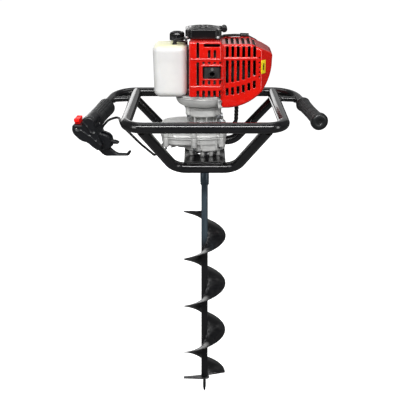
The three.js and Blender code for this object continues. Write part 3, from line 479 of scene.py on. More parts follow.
# ---- Pieces -------------------------------------------------------------------------------------------
def piece(name, mesh_data, body, look, replaces=(), smooth=True):
    """Makes an object from points in millimetres and faces, rides it on a body and gives it its material."""
    points, faces = mesh_data
    mesh = bpy.data.meshes.new(name)
    mesh.from_pydata((np.asarray(points) * MM).tolist(), [], [tuple(map(int, face)) for face in faces])
    mesh.update()
    mesh.polygons.foreach_set("use_smooth", [smooth] * len(mesh.polygons))
    obj = bpy.data.objects.new(name, mesh)
    bpy.context.scene.collection.objects.link(obj)
    mesh.materials.append(LOOKS[look])
    if body:
        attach(obj, body)
    if replaces:
        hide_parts(*replaces)
    return obj


def crease(obj, degrees=40):
    """Keeps edges sharper than an angle crisp."""
    bpy.context.view_layer.objects.active = obj
    for other in bpy.context.selected_objects:
        other.select_set(False)
    obj.select_set(True)
    bpy.ops.object.shade_smooth_by_angle(angle=math.radians(degrees))
    return obj


def in_frame(mesh_data, origin, axes):
    """Moves a mesh from a local frame: origin and its X, Y and Z unit vectors."""
    points, faces = mesh_data
    return np.asarray(points) @ np.array(axes) + np.array(origin), faces


def formed(name, form, step, look, node, body="frame"):
    """A piece meshed from a form, in place of a CAD node."""
    return piece(name, mesh_form(form, step), body, look, [node])


def fasteners(name, heads, look="edge_steel"):
    """One piece on the frame from a list of bolt or screw heads."""
    crease(piece(name, merged(heads), "frame", look), 35)


# ---- Materials ----------------------------------------------------------------------------------------
class Look:
    """A node material with short calls for the nodes that its layers need. Lengths are in metres."""

    def __init__(self, name, base, rough, metal=0.0):
        self.material = bpy.data.materials.new(name)
        self.material.use_nodes = True
        self.tree = self.material.node_tree
        self.shader = self.tree.nodes["Principled BSDF"]
        self.place = self.node("ShaderNodeTexCoord").outputs["Object"]
        self.height = None
        self.set("Base Color", (*base, 1))
        self.set("Roughness", rough)
        self.set("Metallic", metal)
        LOOKS[name] = self.material

    def node(self, kind, **inputs):
        made = self.tree.nodes.new(kind)
        for name, value in inputs.items():
            self.feed(made.inputs[name.replace("_", " ")], value)
        return made

    def feed(self, socket, value):
        if isinstance(value, bpy.types.NodeSocket):
            self.tree.links.new(value, socket)
        else:
            socket.default_value = value

    def set(self, name, value):
        self.feed(self.shader.inputs[name], value)

    def noise(self, scale, detail=3.0, stretch=None):
        place = self.place
        if stretch:
            place = self.node("ShaderNodeMapping", Vector=place, Scale=stretch).outputs[0]
        return self.node("ShaderNodeTexNoise", Vector=place, Scale=scale, Detail=detail).outputs["Fac"]

    def spots(self, scale):
        return self.node("ShaderNodeTexVoronoi", Vector=self.place, Scale=scale).outputs["Distance"]

    def level(self, value, low, high, to_low=0.0, to_high=1.0):
        made = self.node("ShaderNodeMapRange", Value=value)
        for name, number in zip(("From Min", "From Max", "To Min", "To Max"), (low, high, to_low, to_high)):
            made.inputs[name].default_value = number
        return made.outputs[0]

    def mix(self, share, a, b):
        made = self.tree.nodes.new("ShaderNodeMix")
        made.data_type = "RGBA"
        self.feed(made.inputs[0], share)
        for socket, colour in ((made.inputs[6], a), (made.inputs[7], b)):
            self.feed(socket, (*colour, 1) if isinstance(colour, tuple) else colour)
        return made.outputs[2]

    def patchy(self, pattern, low, high, a, b):
        """From colour a to colour b as a pattern goes from low to high."""
        return self.mix(self.level(pattern, low, high), a, b)

    def roughness(self, pattern, smooth, rough):
        self.set("Roughness", self.level(pattern, 0.3, 0.7, smooth, rough))

    def maths(self, operation, a, b=0.0):
        made = self.tree.nodes.new("ShaderNodeMath")
        made.operation = operation
        self.feed(made.inputs[0], a)
        self.feed(made.inputs[1], b)
        return made.outputs[0]

    def upright(self):
        """The height above the origin, in metres."""
        return self.node("ShaderNodeSeparateXYZ", Vector=self.place).outputs["Z"]

    def edges(self, low=0.52, high=0.6):
        """1 on sharp outer edges."""
        return self.level(self.node("ShaderNodeNewGeometry").outputs["Pointiness"], low, high)

    def recess(self, reach=0.01):
        """1 deep in corners and gaps."""
        shade = self.node("ShaderNodeAmbientOcclusion", Distance=reach)
        shade.samples = 4
        return self.level(shade.outputs["AO"], 0.35, 0.9, 1.0, 0.0)

    def bump(self, height, depth, strength=1.0):
        made = self.node("ShaderNodeBump", Strength=strength, Distance=depth, Height=height)
        if self.height:
            self.feed(made.inputs["Normal"], self.height)
        self.height = made.outputs[0]
        self.set("Normal", self.height)

    def coat(self, weight, rough=0.05):
        self.set("Coat Weight", weight)
        self.set("Coat Roughness", rough)


def black_paint():
    """Gloss powder coat: a fine orange peel and a little dust in the corners."""
    look = Look("black_paint", (0.012, 0.012, 0.013), 0.3)
    cloud = look.noise(45)
    dull = look.patchy(cloud, 0.35, 0.7, (0.004, 0.004, 0.005), (0.009, 0.009, 0.010))
    look.set("Base Color", look.mix(look.recess(), dull, (0.014, 0.013, 0.012)))
    look.roughness(look.noise(160), 0.17, 0.24)
    look.bump(look.noise(90, 1), 0.00002, 0.04)
    look.coat(0.5, 0.10)


def shaft_steel():
    """Satin slate-blue coat on drawn tube, which runs into the black coat of the flights lower down."""
    look = Look("shaft_steel", (0.09, 0.12, 0.15), 0.35, 0.35)
    streak = look.noise(260, 4, (1.0, 1.0, 0.06))
    slate = look.patchy(streak, 0.3, 0.7, (0.036, 0.058, 0.078), (0.070, 0.100, 0.125))
    ragged = look.maths("ADD", look.upright(), look.maths("MULTIPLY", look.noise(30), 0.03))
    fade = look.level(ragged, 0.385, 0.425)
    look.set("Base Color", look.mix(fade, (0.010, 0.010, 0.012), slate))
    look.roughness(streak, 0.26, 0.42)
    look.bump(streak, 0.00008, 0.4)
    look.coat(0.25, 0.15)


def bit_black():
    """Gloss black dip on the flights, scuffed along the rim where it meets the ice."""
    look = Look("bit_black", (0.010, 0.010, 0.011), 0.25)
    scratch = look.noise(90, 5, (1.0, 1.0, 4.0))
    worn = look.maths("MULTIPLY", look.edges(0.53, 0.62), look.level(look.noise(140, 4), 0.45, 0.62))
    black = look.patchy(scratch, 0.35, 0.7, (0.003, 0.003, 0.004), (0.007, 0.007, 0.008))
    look.set("Base Color", look.mix(worn, black, (0.16, 0.16, 0.17)))
    look.roughness(scratch, 0.28, 0.42)
    look.bump(look.noise(300, 2), 0.00006, 0.25)
    look.coat(0.2, 0.12)


def cast_aluminium():
    """Sand-cast and blasted: a fine grain, cloudy brightness, painted shade in the corners and rubbed edges.
    """
    look = Look("cast_aluminium", (0.55, 0.55, 0.53), 0.5, 0.45)
    patch = look.patchy(look.noise(35, 4), 0.3, 0.7, (0.60, 0.60, 0.59), (0.78, 0.78, 0.76))
    # Painted shade: corners and gaps are mixed towards near black.
    dark = look.mix(look.maths("MULTIPLY", look.recess(0.014), 0.9), patch, (0.04, 0.04, 0.042))
    look.set("Base Color", look.mix(look.edges(), dark, (0.88, 0.88, 0.86)))
    look.roughness(look.noise(300, 4), 0.36, 0.58)
    look.bump(look.noise(1100, 3), 0.00025, 0.55)
    look.bump(look.spots(700), 0.0001, 0.4)


def red_cover():
    """Gloss moulded red: a clear skin over deep colour, with faint sink marks and painted shade in its
    recesses.
    """
    look = Look("red_cover", (0.72, 0.004, 0.004), 0.24)
    deep = look.patchy(look.noise(25), 0.3, 0.7, (0.62, 0.004, 0.0003), (0.73, 0.006, 0.0005))
    # Painted shade: the red goes dark in corners and gaps.
    look.set("Base Color", look.mix(look.recess(0.006), deep, (0.28, 0.002, 0.0005)))
    look.roughness(look.noise(220, 4), 0.18, 0.30)
    look.set("Subsurface Weight", 0.08)
    look.set("Subsurface Radius", (0.003, 0.0006, 0.0005))
    look.bump(look.noise(28, 2), 0.0008, 0.12)
    look.bump(look.noise(900, 2), 0.00006, 0.25)
    look.coat(0.7, 0.04)


def tank_plastic():
    """Milky blow-moulded tank: light goes in and spreads, and the shoulder has yellowed."""
    look = Look("tank_plastic", (0.78, 0.77, 0.73), 0.38)
    haze = look.patchy(look.noise(22, 3), 0.3, 0.7, (0.70, 0.70, 0.69), (0.78, 0.78, 0.765))
    ragged = look.maths("ADD", look.upright(), look.maths("MULTIPLY", look.noise(40), 0.008))
    top = look.level(ragged, 0.862, 0.872)
    look.set("Base Color", look.mix(top, haze, (0.80, 0.79, 0.50)))
    look.roughness(look.noise(150), 0.30, 0.44)
    look.set("Subsurface Weight", 0.15)
    look.set("Subsurface Radius", (0.012, 0.011, 0.009))
    look.bump(look.noise(40, 1), 0.0003, 0.1)


def rubber(name, base, rough):
    look = Look(name, base, rough)
    bright = tuple(c * 1.8 for c in base)
    look.set("Base Color", look.patchy(look.noise(70, 4), 0.35, 0.7, base, bright))
    look.roughness(look.noise(240, 3), rough - 0.1, rough + 0.1)
    look.bump(look.noise(1500, 3), 0.0001, 0.5)
    look.set("Sheen Weight", 0.02)


def moulding(name, base, rough, grain, coat):
    """Moulded plastic with a fine leathered grain."""
    look = Look(name, base, rough)
    pale = tuple(c * 1.7 for c in base)
    look.set("Base Color", look.mix(look.edges(0.53, 0.65), look.mix(look.noise(60), base, pale), pale))
    look.roughness(look.noise(260, 4), rough - 0.06, rough + 0.08)
    look.bump(look.spots(grain), 0.0001, 0.3)
    look.coat(coat, 0.08)


def turned_metal(name, base, rough, tint=None):
    """Machined metal: fine tool marks round it, a film of oil, and brighter edges."""
    look = Look(name, base, rough, 1.0)
    marks = look.noise(500, 3, (0.15, 0.15, 6.0))
    film = look.level(look.noise(55, 4), 0.35, 0.75)
    dark = tint or tuple(c * 0.6 for c in base)
    oiled, bright = look.mix(film, base, dark), tuple(min(1, c * 1.5) for c in base)
    look.set("Base Color", look.mix(look.edges(), oiled, bright))
    look.roughness(marks, rough - 0.08, rough + 0.12)
    look.bump(marks, 0.00006, 0.5)


def muffler_black():
    """Heatproof matte paint, greyed by heat in random patches."""
    # This black is also painted shade, on the sheets inside the shroud and on the engine's cylinder.
    look = Look("muffler_black", (0.012, 0.012, 0.012), 0.6)
    burnt = look.patchy(look.noise(70, 5), 0.4, 0.7, (0.010, 0.010, 0.010), (0.035, 0.032, 0.030))
    look.set("Base Color", burnt)
    look.roughness(look.noise(300), 0.5, 0.75)
    look.bump(look.noise(900, 3), 0.0001, 0.5)


def foam():
    """Open-cell filter foam."""
    look = Look("foam", (0.04, 0.045, 0.05), 0.95)
    cells = look.spots(420)
    look.set("Base Color", look.patchy(cells, 0.1, 0.6, (0.010, 0.012, 0.014), (0.075, 0.085, 0.095)))
    look.bump(cells, 0.0008, 1.0)


def friction_lining():
    """Pressed lining with pale fibres in it."""
    look = Look("friction_lining", (0.12, 0.09, 0.07), 0.85)
    fibre = look.level(look.noise(700, 5, (1.0, 3.0, 1.0)), 0.55, 0.7)
    look.set("Base Color", look.mix(fibre, (0.085, 0.065, 0.050), (0.32, 0.27, 0.20)))
    look.bump(look.noise(900, 4), 0.0002, 0.6)


def decal():
    """Glossy printed film: a plain yellow ground."""
    look = Look("decal", (0.86, 0.68, 0.02), 0.3)
    look.set("Base Color", look.patchy(look.noise(90), 0.3, 0.7, (0.95, 0.72, 0.005), (1.0, 0.80, 0.01)))
    look.bump(look.noise(500, 2), 0.00004, 0.3)
    look.coat(0.6, 0.05)


def decal_mark():
    look = Look("decal_mark", (0.012, 0.012, 0.012), 0.35)
    look.roughness(look.noise(300), 0.28, 0.45)
    look.bump(look.noise(600, 2), 0.00003, 0.3)


def seen_by_camera(tree, seen, other):
    """Shows one shader to the camera and another to the light that bounces."""
    path = tree.nodes.new("ShaderNodeLightPath")
    switch = tree.nodes.new("ShaderNodeMixShader")
    tree.links.new(path.outputs["Is Camera Ray"], switch.inputs[0])
    tree.links.new(other.outputs[0], switch.inputs[1])
    tree.links.new(seen.outputs[0], switch.inputs[2])
    return switch


def floor_paper():
    """Bright seamless paper. It glows for the camera, and throws less light back than it seems to."""
    look = Look("floor_paper", (0.93, 0.93, 0.93), 0.9)
    look.set("Base Color", look.mix(look.noise(3, 2), (0.92, 0.92, 0.92), (0.94, 0.94, 0.94)))
    look.set("Specular IOR Level", 0.0)
    look.set("Emission Color", (1, 1, 1, 1))
    look.set("Emission Strength", 0.74)
    dim = look.node("ShaderNodeBsdfDiffuse", Color=(0.14, 0.14, 0.14, 1))
    output = look.tree.nodes["Material Output"]
    look.feed(output.inputs["Surface"], seen_by_camera(look.tree, look.shader, dim).outputs[0])


def make_looks():
    for make in (black_paint, shaft_steel, bit_black, cast_aluminium, red_cover, tank_plastic,
                 muffler_black, foam, friction_lining, decal, decal_mark, floor_paper):
        make()
    rubber("grip_rubber", (0.008, 0.009, 0.0095), 0.36)
    rubber("seal_rubber", (0.005, 0.005, 0.005), 0.42)
    moulding("black_moulding", (0.004, 0.004, 0.0045), 0.18, 1500, 0.5)
    moulding("control_moulding", (0.004, 0.0045, 0.006), 0.34, 1200, 0.12)
    moulding("switch_red", (0.90, 0.006, 0.004), 0.32, 1500, 0.3)
    turned_metal("machined_steel", (0.50, 0.51, 0.53), 0.28)
    turned_metal("edge_steel", (0.68, 0.68, 0.66), 0.3)
    turned_metal("bushing_bronze", (0.60, 0.42, 0.20), 0.34)


# ---- Bit ----------------------------------------------------------------------------------------------
SHAFT = corner("bit_shaft", 0)[2], corner("bit_shaft", 1)[2]
SHAFT_RADIUS = corner("bit_shaft", 1)[0]
SHAFT_BORE = 5.5
COLLAR = corner("bit_collar", 0)[2], corner("bit_collar", 1)[2]
FLIGHT_BOTTOM = 41.5
FLIGHT_TOP = 462.0
FLIGHT_TURNS = 3.5
FLIGHT_RADIUS = corner("bit_flight", 1)[0]
FLIGHT_CONE = 7.0
BLADE = corner("cutting_blade", 0)[2], corner("cutting_blade", 1)[2]
UP = (0, 0, 1)
DOWN = (0, 0, -1)
FORWARD = (0, -1, 0)


def flight_height(turns, share):
    """Height of the flight's middle, at a share of the way from the shaft to the rim."""
    rise = FLIGHT_CONE * max(0.0, 1 - turns * 4) * share
    return FLIGHT_BOTTOM + turns * (FLIGHT_TOP - FLIGHT_BOTTOM) / FLIGHT_TURNS + rise


def flight():
    inner, rim = SHAFT_RADIUS - 0.4, FLIGHT_RADIUS
    section = [(0, 1.5), (0.35, 1.5), (0.7, 1.4), (0.95, 1.25), (0.985, 0.9), (1, 0.3),
               (1, -0.3), (0.985, -0.9), (0.95, -1.25), (0.7, -1.4), (0.35, -1.5), (0, -1.5)]
    rings = []
    for turns in np.linspace(0, FLIGHT_TURNS, int(FLIGHT_TURNS * 96) + 1):
        angle = turns * TAU
        ring = []
        for share, lift in section:
            radius = inner + share * (rim - inner)
            ring.append((radius * math.cos(angle), radius * math.sin(angle),
                         flight_height(turns, share) + lift))
        rings.append(ring)
    return loft(rings)


def flight_weld(side):
    """The fillet weld along the flight's root, laid as a row of overlapping ripples."""
    radius = SHAFT_RADIUS + 0.5
    path = []
    for turns in np.linspace(0.01, FLIGHT_TURNS - 0.01, int(FLIGHT_TURNS * 72)):
        angle = turns * TAU
        path.append((radius * math.cos(angle), radius * math.sin(angle),
                     flight_height(turns, 0) + side * 1.6))
    return sweep(np.array(path), lambda t: 1.7 + 0.22 * math.sin(t * FLIGHT_TURNS * TAU * 11), 8)


def blade():
    """The cutting blade. Its leading edge is ground from above to a thin lip."""
    low, high = BLADE
    stations = [(-51, -9, 4, 3.4), (-49, -9.6, 4.6, 4.2), (-30, -11, 7.3, 4.2), (-12, -12.6, 11, 3.0),
                (-6, -12.8, 12, 0.6), (6, -11.5, 11.6, 0.6), (10, -8.5, 8.5, 0.6), (12, -1.5, 1.5, 0.6)]
    rings = []
    for x, front, rear, ground in stations:
        rings.append([(x, front + 0.4, low), (x, rear - 0.1, low), (x, rear, low + 0.4),
                      (x, rear - ground, high - 0.1), (x, rear - ground - 0.4, high),
                      (x, front + 0.4, high), (x, front, high - 0.4), (x, front, low + 0.4)])
    return loft(rings)


def centre_point():
    """A round stem forged to a four-sided, slightly blunt point."""
    heights = [(0, 1.2), (0.4, 1.45), (5, 2.6), (9, 3.5), (12, 3.5), (BLADE[1] + 1.5, 3.5),
               (BLADE[1] + 2.2, 2.8)]
    squareness = [1, 1, 1, 0.75, 0, 0, 0]

    def shape(k, angles):
        square = 1 / np.maximum(np.abs(np.cos(angles)), np.abs(np.sin(angles)))
        return 1 + (square * 0.86 - 1) * squareness[k]

    return turned_rings([(r, z) for z, r in heights], (0, 0, 0), UP, 32, shape)


def build_bit():
    low, high = SHAFT
    radius = SHAFT_RADIUS
    wall = [(SHAFT_BORE, low), (radius - 0.4, low), (radius, low + 0.4)]
    wall += [(radius, z) for z in np.linspace(low + 20, high - 20, 12)]
    wall += [(radius, high - 0.4), (radius - 0.4, high), (SHAFT_BORE, high)]
    shaft = turned_rings(wall, (0, 0, 0), UP, 48, closed=True)
    piece("bit_shaft_tube", shaft, "bit", "shaft_steel", ["bit_shaft"])
    low, high = COLLAR
    collar = [(8.15, low), (9.3, low), (10.5, low + 1.6), (10.5, low + 4), (9.7, low + 4.5),
              (9.7, low + 5.6), (10.5, low + 6.1), (10.5, high - 2.2), (9, high), (8.15, high)]
    sleeve = turned_rings(collar, (0, 0, 0), UP, 48, closed=True)
    crease(piece("bit_collar_sleeve", sleeve, "bit", "shaft_steel", ["bit_collar"]), 35)
    pin_z = (corner("coupling_pin", 0)[2] + corner("coupling_pin", 1)[2]) / 2
    heads = [hex_bolt((0, side * 10.2, pin_z), (0, side, 0), 8, 3.2, 4.4) for side in (-1, 1)]
    crease(piece("coupling_pin_heads", merged(heads), "bit", "shaft_steel"), 35)
    crease(piece("bit_flight_plate", flight(), "bit", "bit_black", ["bit_flight"]), 50)
    piece("flight_weld", merged([flight_weld(1), flight_weld(-1)]), "bit", "bit_black")
    crease(piece("cutting_blade_ground", blade(), "bit", "bit_black", ["cutting_blade"]), 25)
    crease(piece("centre_point_forged", centre_point(), "bit", "bit_black", ["centre_point"]), 30)


# ---- Reduction gearbox --------------------------------------------------------------------------------
LOW_LUGS = [(LAY_X - 39, -38), (LAY_X - 39, 38), (-25, -51), (-25, 51)]
HIGH_LUGS = [(38, -38), (38, 38)]
LUGS = LOW_LUGS + HIGH_LUGS
LUG_RADIUS = 6.5
CASE_WALL = 4
CASE_RIM = 2            # how far the joint's rim stands out
CASE_INNER = CASE_RADIUS - CASE_WALL
LAY_SEAT = 8.2          # radius of the layshaft's bearing seats
LEGS = [(-30, -26), (-5, -38), (14, -36), (30, -26), (-30, 26), (30, 26)]
EARS = [(ENGINE_X + sx * 34, sy * 26) for sx in (-1, 1) for sy in (-1, 1)]


def case_outline(radius):
    """Two round ends, about the output shaft and the layshaft, joined by straight sides."""
    right = arc((0, 0), radius, -math.pi / 2, math.pi / 2, 40)
    return right + arc((LAY_X, 0), radius, math.pi / 2, math.pi * 1.5, 40)


def spoke(angle, inner, outer, low, high, half=1.5, x=0.0):
    """An upright web that runs outwards from an axis at x."""
    start = (x + inner * math.cos(angle), inner * math.sin(angle))
    end = (x + outer * math.cos(angle), outer * math.sin(angle))
    side = (-math.sin(angle) * half, math.cos(angle) * half)
    corners = [(start[0] - side[0], start[1] - side[1]), (end[0] - side[0], end[1] - side[1]),
               (end[0] + side[0], end[1] + side[1]), (start[0] + side[0], start[1] + side[1])]
    return prism(Outline(corners), low, high, 0.8)


def lower_case():
    """The lower half: a rimmed shell with lugs, ribs and legs, hollowed out and bored for its bearings."""
    above = CASE_SPLIT + 6
    shell = unite([
        prism(Outline(case_outline(CASE_RADIUS)), LOBE_BOTTOM, above, 4),
        post(0, CASE_BOTTOM, above, CASE_RADIUS - 1.5, 4),
        prism(Outline(case_outline(CASE_RADIUS + CASE_RIM)), CASE_SPLIT - 4, above, 1.2),
        post(LAY_X, 621, 636, 13, 2),
        post(LAY_X, 624, 636, 18, 3),
        *posts(LUGS, LOBE_BOTTOM - 4, above, LUG_RADIUS, 1.5),
        *posts(LEGS, PLATE_HIGH[2] + 0.1, CASE_BOTTOM + 4, 5.2, 0.6, tip=6.4),
        *[spoke(a, 12, 47, 626, 640, 1.6, LAY_X) for a in (2.2, 2.75, 3.53, 4.08)],
        *[spoke(a, 44, 51.3, 622, CASE_SPLIT, 1.6)
          for a in (-2.0, -1.75, -1.0, -0.45, 0.45, 1.0, 1.75, 2.0)],
    ], 2.5)
    hollow = unite([
        prism(Outline(case_outline(CASE_INNER)), LOBE_BOTTOM + CASE_WALL, CASE_SPLIT + 20, 2),
        post(0, CASE_BOTTOM + CASE_WALL, CASE_SPLIT + 20, CASE_INNER - 1, 2),
    ])
    hub = unite([post(0, CASE_BOTTOM, 634.5, 22, 1), post(LAY_X, 622, 636.5, 12, 1)])
    output_seat, output_hole = post(0, 621.7, 640, 16.2), post(0, 600, 622, 13.2)
    lay_seat = post(LAY_X, 623.2, 640, LAY_SEAT)
    top_half = brick((-140, -80, CASE_SPLIT), (80, 80, CASE_SPLIT + 20))
    cuts = [output_seat, output_hole, lay_seat, top_half]
    whole = carve(unite([carve(shell, [hollow], 1), hub], 1), cuts)
    whole.high[2] = CASE_SPLIT
    return whole


def upper_case():
    """The upper half, with the webbed neck and the round flange that carry the engine."""
    split = CASE_SPLIT + 0.3
    shell = unite([
        prism(Outline(case_outline(CASE_RADIUS)), split - 10, CASE_TOP, 5),
        prism(Outline(case_outline(CASE_RADIUS + CASE_RIM)), split - 10, split + 4, 1.2),
        post(ENGINE_X, CASE_TOP - 4, FLANGE_Z + 4, 28.5, 1),
        post(ENGINE_X, FLANGE_Z - 1, BOWL_Z - 3, 41.8, 2),
        post(ENGINE_X, BOWL_Z - 6, BOWL_Z, 44.5, 1.2),
        *posts(LOW_LUGS, split - 4, CASE_TOP - 10, LUG_RADIUS, 1.5),
        *posts(HIGH_LUGS, split - 4, CASE_TOP + 2, LUG_RADIUS, 1.5),
        *posts(EARS, FLANGE_Z + 3, BOWL_Z, 6.2, 1),
        *[spoke(k * TAU / 8 + 0.2, 24, 38, CASE_TOP - 4, FLANGE_Z + 3, 1.7, ENGINE_X) for k in range(8)],
        *[spoke(a, 47, 51.5, split, CASE_TOP - 6, 1.5, LAY_X) for a in (2.0, 2.5, 3.14, 3.78, 4.28)],
    ], 2.5)
    hollow = prism(Outline(case_outline(CASE_INNER)), split - 20, CASE_TOP - CASE_WALL, 2)
    boss = post(LAY_X, 667.5, CASE_TOP - 2, 12, 1)
    lay_seat, input_seat = post(LAY_X, 660, 679, LAY_SEAT), post(ENGINE_X, 670, FLANGE_Z + 5, 14.2)
    drum_space = post(ENGINE_X, FLANGE_Z + 2.7, BOWL_Z + 5, 40.4)
    lower_half = brick((-140, -80, split - 20), (80, 80, split))
    cuts = [lay_seat, input_seat, drum_space, lower_half]
    whole = carve(unite([carve(shell, [hollow], 1), boss], 1), cuts)
    whole.low[2] = split
    return whole


def build_gearbox():
    formed("gearcase_lower_casting", lower_case(), 1.0, "cast_aluminium", "gearcase_lower")
    formed("gearcase_upper_casting", upper_case(), 1.0, "cast_aluminium", "gearcase_upper")
    screw_end = [(2.4, 0), (2.6, 0.6), (2.6, 6), (2.2, 6.8), (0.01, 7)]
    heads = [hex_bolt((x, y, CASE_TOP - 10), UP, 8, 5, 5.2) for x, y in LOW_LUGS]
    heads += [hex_bolt((x, y, CASE_TOP + 2), UP, 10, 7, 6) for x, y in HIGH_LUGS]
    heads += [turned_rings(screw_end, (x, y, LOBE_BOTTOM - 3.6), DOWN, 20) for x, y in LUGS]
    heads += [hex_bolt((x, y, FLANGE_Z + 3), DOWN, 9, 6, 5.5) for x, y in EARS]
    fasteners("gearcase_bolts", heads, "machined_steel")
    section = [(40, 0), (44.9, 0), (45.3, 0.4), (44.9, 0.8), (40, 0.8)]
    gasket = turned_rings(section, (ENGINE_X, 0, BOWL_Z - 0.2), UP, 72, closed=True)
    piece("flange_gasket", gasket, "frame", "seal_rubber")


# ---- Blower housing, muffler and engine details ----------------------------------------------------------
def bowl():
    """The blower housing: a dish that widens upwards, with a boss for the cover's screw."""
    z = BOWL_Z + 0.3
    top = DECK_Z - 0.3
    profile = [(42, z), (46, z), (51, z + 1.0), (56, z + 3.6), (60, z + 7.6), (63, z + 13), (64.6, top - 4),
               (65.4, top - 3), (65.4, top), (60, top), (59, z + 14), (54, z + 7.5), (48, z + 4),
               (42, z + 3)]
    boss = brick((30, -60, z + 1), (42, -44, top), 3)
    whole = unite([turned(profile, ENGINE_X), boss], 3)
    return carve(whole, [post(ENGINE_X, z + 6, top + 5, 56.6, 2), post(ENGINE_X, z - 4, top, 41.8)], 1)


OUTLET = np.array([16.5, 0, 806.0])


def muffler():
    """A pressed can in two halves with a lip between them, and an outlet pipe on a plate."""
    low, high = corner("muffler", 0), corner("muffler", 1)
    low[1] = -71.0
    lip_y = (low[1] + high[1]) / 2
    body = unite([
        brick(low, high, 4),
        brick((low[0] - 1.6, lip_y - 1.4, low[2] - 1.6), (high[0] + 1.6, lip_y + 1.4, high[2] + 1.6), 1),
        rod(OUTLET + (0, -81.5, 0), OUTLET + (0, -66, 0), 7.6, 0.8),
        brick((8, -72.6, 798), (25, -68, 820), 1),
    ], 1.5)
    return carve(body, [rod(OUTLET + (0, -90, 0), OUTLET + (0, -60, 0), 5.8)])


def build_lower_engine():
    formed("blower_bowl", bowl(), 1.2, "cast_aluminium", "blower_housing")
    formed("muffler_can", muffler(), 1.1, "muffler_black", "muffler")
    screws = [socket_screw((36, -60, DECK_Z - 6), FORWARD, 3.6, 3.6),
              hex_bolt((16.5, -72.4, 816), FORWARD, 6, 3)]
    fasteners("housing_screws", screws)


# ---- Cooling shroud -----------------------------------------------------------------------------------
LEFT_X = SHROUD_LOW[0]
MIDDLE_X = 37.0
RIGHT_X = SHROUD_HIGH[0]
FRONT_Y = SHROUD_LOW[1]
REAR_Y = 46.0
BLOCK_FRONT_Y = -60.0
BLOCK_REAR_Y = SHROUD_HIGH[1]
LEFT_BOTTOM = 751.0
LEFT_TOP = SHROUD_HIGH[2]
BLOCK_TOP = 871.0
WALL = 2.4
COLUMN_GAP = 12.4
SLOT_WIDTH = 6.4
DOT_X = 124.5
DOT_LOW = 796.5
DOT_GAP = 11.0
HOLE_COLUMNS = (-2.9, 9.7, 22.2, 35.0)


def block_outline(inset):
    """The right block's front outline: an elliptical belly, a short upright flank and a sloping shoulder."""
    belly = [(47 + (108 - inset) * math.cos(t), 828 + (104 - inset) * math.sin(t))
             for t in np.linspace(-math.pi / 2, 0, 28)]
    return [(MIDDLE_X - 6 + inset, 724 + inset)] + belly + [
        (RIGHT_X - inset, 840), (RIGHT_X - 1.5 - inset, 845), (RIGHT_X - 8 - inset, 850.5),
        (RIGHT_X - 22 - inset, 858.5), (RIGHT_X - 50 - inset / 2, BLOCK_TOP - inset),
        (MIDDLE_X - 6 + inset, BLOCK_TOP - inset),
    ]


def shroud_volume(inset):
    """The cover's outside, or its inside when it is inset: a box on the left and the block on the right."""
    left = brick((LEFT_X + inset, FRONT_Y + inset, LEFT_BOTTOM - inset * 4),
                 (MIDDLE_X + 1 - inset, REAR_Y + inset * 8, LEFT_TOP - inset), max(5 - inset, 1))
    right = prism(Outline(block_outline(inset)), BLOCK_FRONT_Y + inset, BLOCK_REAR_Y - inset,
                  max(6 - inset, 1), axis=1)
    normal = np.array([38.0, -27.0, 0.0])
    normal /= np.linalg.norm(normal)

    def chamfered(points):
        plane = (points - np.array([129.0 - inset, BLOCK_FRONT_Y, 0])) @ normal + inset * 0.2
        return -soft_min(-right.distance(points), -plane, 3)

    flank = Form(chamfered, right.low, right.high)
    flare = brick((MIDDLE_X - 4 + inset, BLOCK_FRONT_Y - 7 + inset, 762),
                  (MIDDLE_X + 5 - inset, 40, BLOCK_TOP - 4 - inset), 3)
    return unite([left, flank, flare], 4)


def slot_front(x, z_low, z_high, width, y, fillet=1.2):
    return brick((x, y - 8, z_low), (x + width, y + 7, z_high), min(fillet, width / 2 - 0.1))


def left_vents():
    """Openings in the front of the left part, round the exhaust window."""
    cuts = [slot_front(-18.8, low, high, 5.8, FRONT_Y)
            for low, high in ((842.4, 877), (779.5, 832.1), (745, 767))]
    cuts.append(slot_front(-2.9, 867.3, 874.0, 37.6, FRONT_Y, 3.2))
    cuts += [slot_front(x, 842.4, 859.8, 5.6, FRONT_Y) for x in (7, 19.8)]
    cuts.append(slot_front(-5, 794.5, 823, 43, FRONT_Y, 2))
    for x in HOLE_COLUMNS:
        cuts.append(slot_front(x - 2.6, 828.6, 833.4, 5.2, FRONT_Y))
        cuts.append(slot_front(x - 2.8, 781.4, 791, 5.6, FRONT_Y))
        cuts.append(slot_front(x - 3, 745, 767.5, 6, FRONT_Y))
    return cuts


def block_vents():
    """Six columns of slots in the block's front, top and rear, whose lower rows follow the belly, and a
    column of dots."""
    cuts = []
    for column in range(6):
        run = COLUMN_GAP * column
        drop = 0.1 * run + 0.0028 * run * run
        x = MIDDLE_X + 10.8 + run
        for low, high in ((842, 866.5), (782.7 + drop, 834.6), (753.5 + drop, 770.7 + drop)):
            cuts.append(slot_front(x, low, high, SLOT_WIDTH, BLOCK_FRONT_Y))
        cuts.append(brick((x, -50, BLOCK_TOP - 30), (x + SLOT_WIDTH, 62, BLOCK_TOP + 6), 1.2))
        cuts.append(brick((x, 66, 780 + drop), (x + SLOT_WIDTH, 90, 850), 1.2))
    for z in DOT_LOW + DOT_GAP * np.arange(5):
        cuts.append(rod((DOT_X, BLOCK_FRONT_Y - 6, z), (DOT_X, BLOCK_FRONT_Y + 8, z), 1.8))
    return cuts


def left_side_vents():
    return [brick((LEFT_X - 6, -52 + k * 12, 800), (LEFT_X + 6, -46 + k * 12, 846), 1.2) for k in range(7)]


def ridges():
    """Raised bands that frame the slots on both faces."""
    belts = []
    for z in (838.5, 775.5):
        belts.append(brick((LEFT_X + 4, FRONT_Y - 0.9, z - 1.6), (MIDDLE_X - 2, FRONT_Y + 1.2, z + 1.6),
                           0.7))
    belts.append(brick((-8, FRONT_Y - 1.1, 791.8), (41, FRONT_Y + 1.5, 825.7), 0.9))
    belts.append(brick((MIDDLE_X + 6, BLOCK_FRONT_Y - 0.9, 836.6), (121, BLOCK_FRONT_Y + 1.2, 840), 0.7))
    return belts


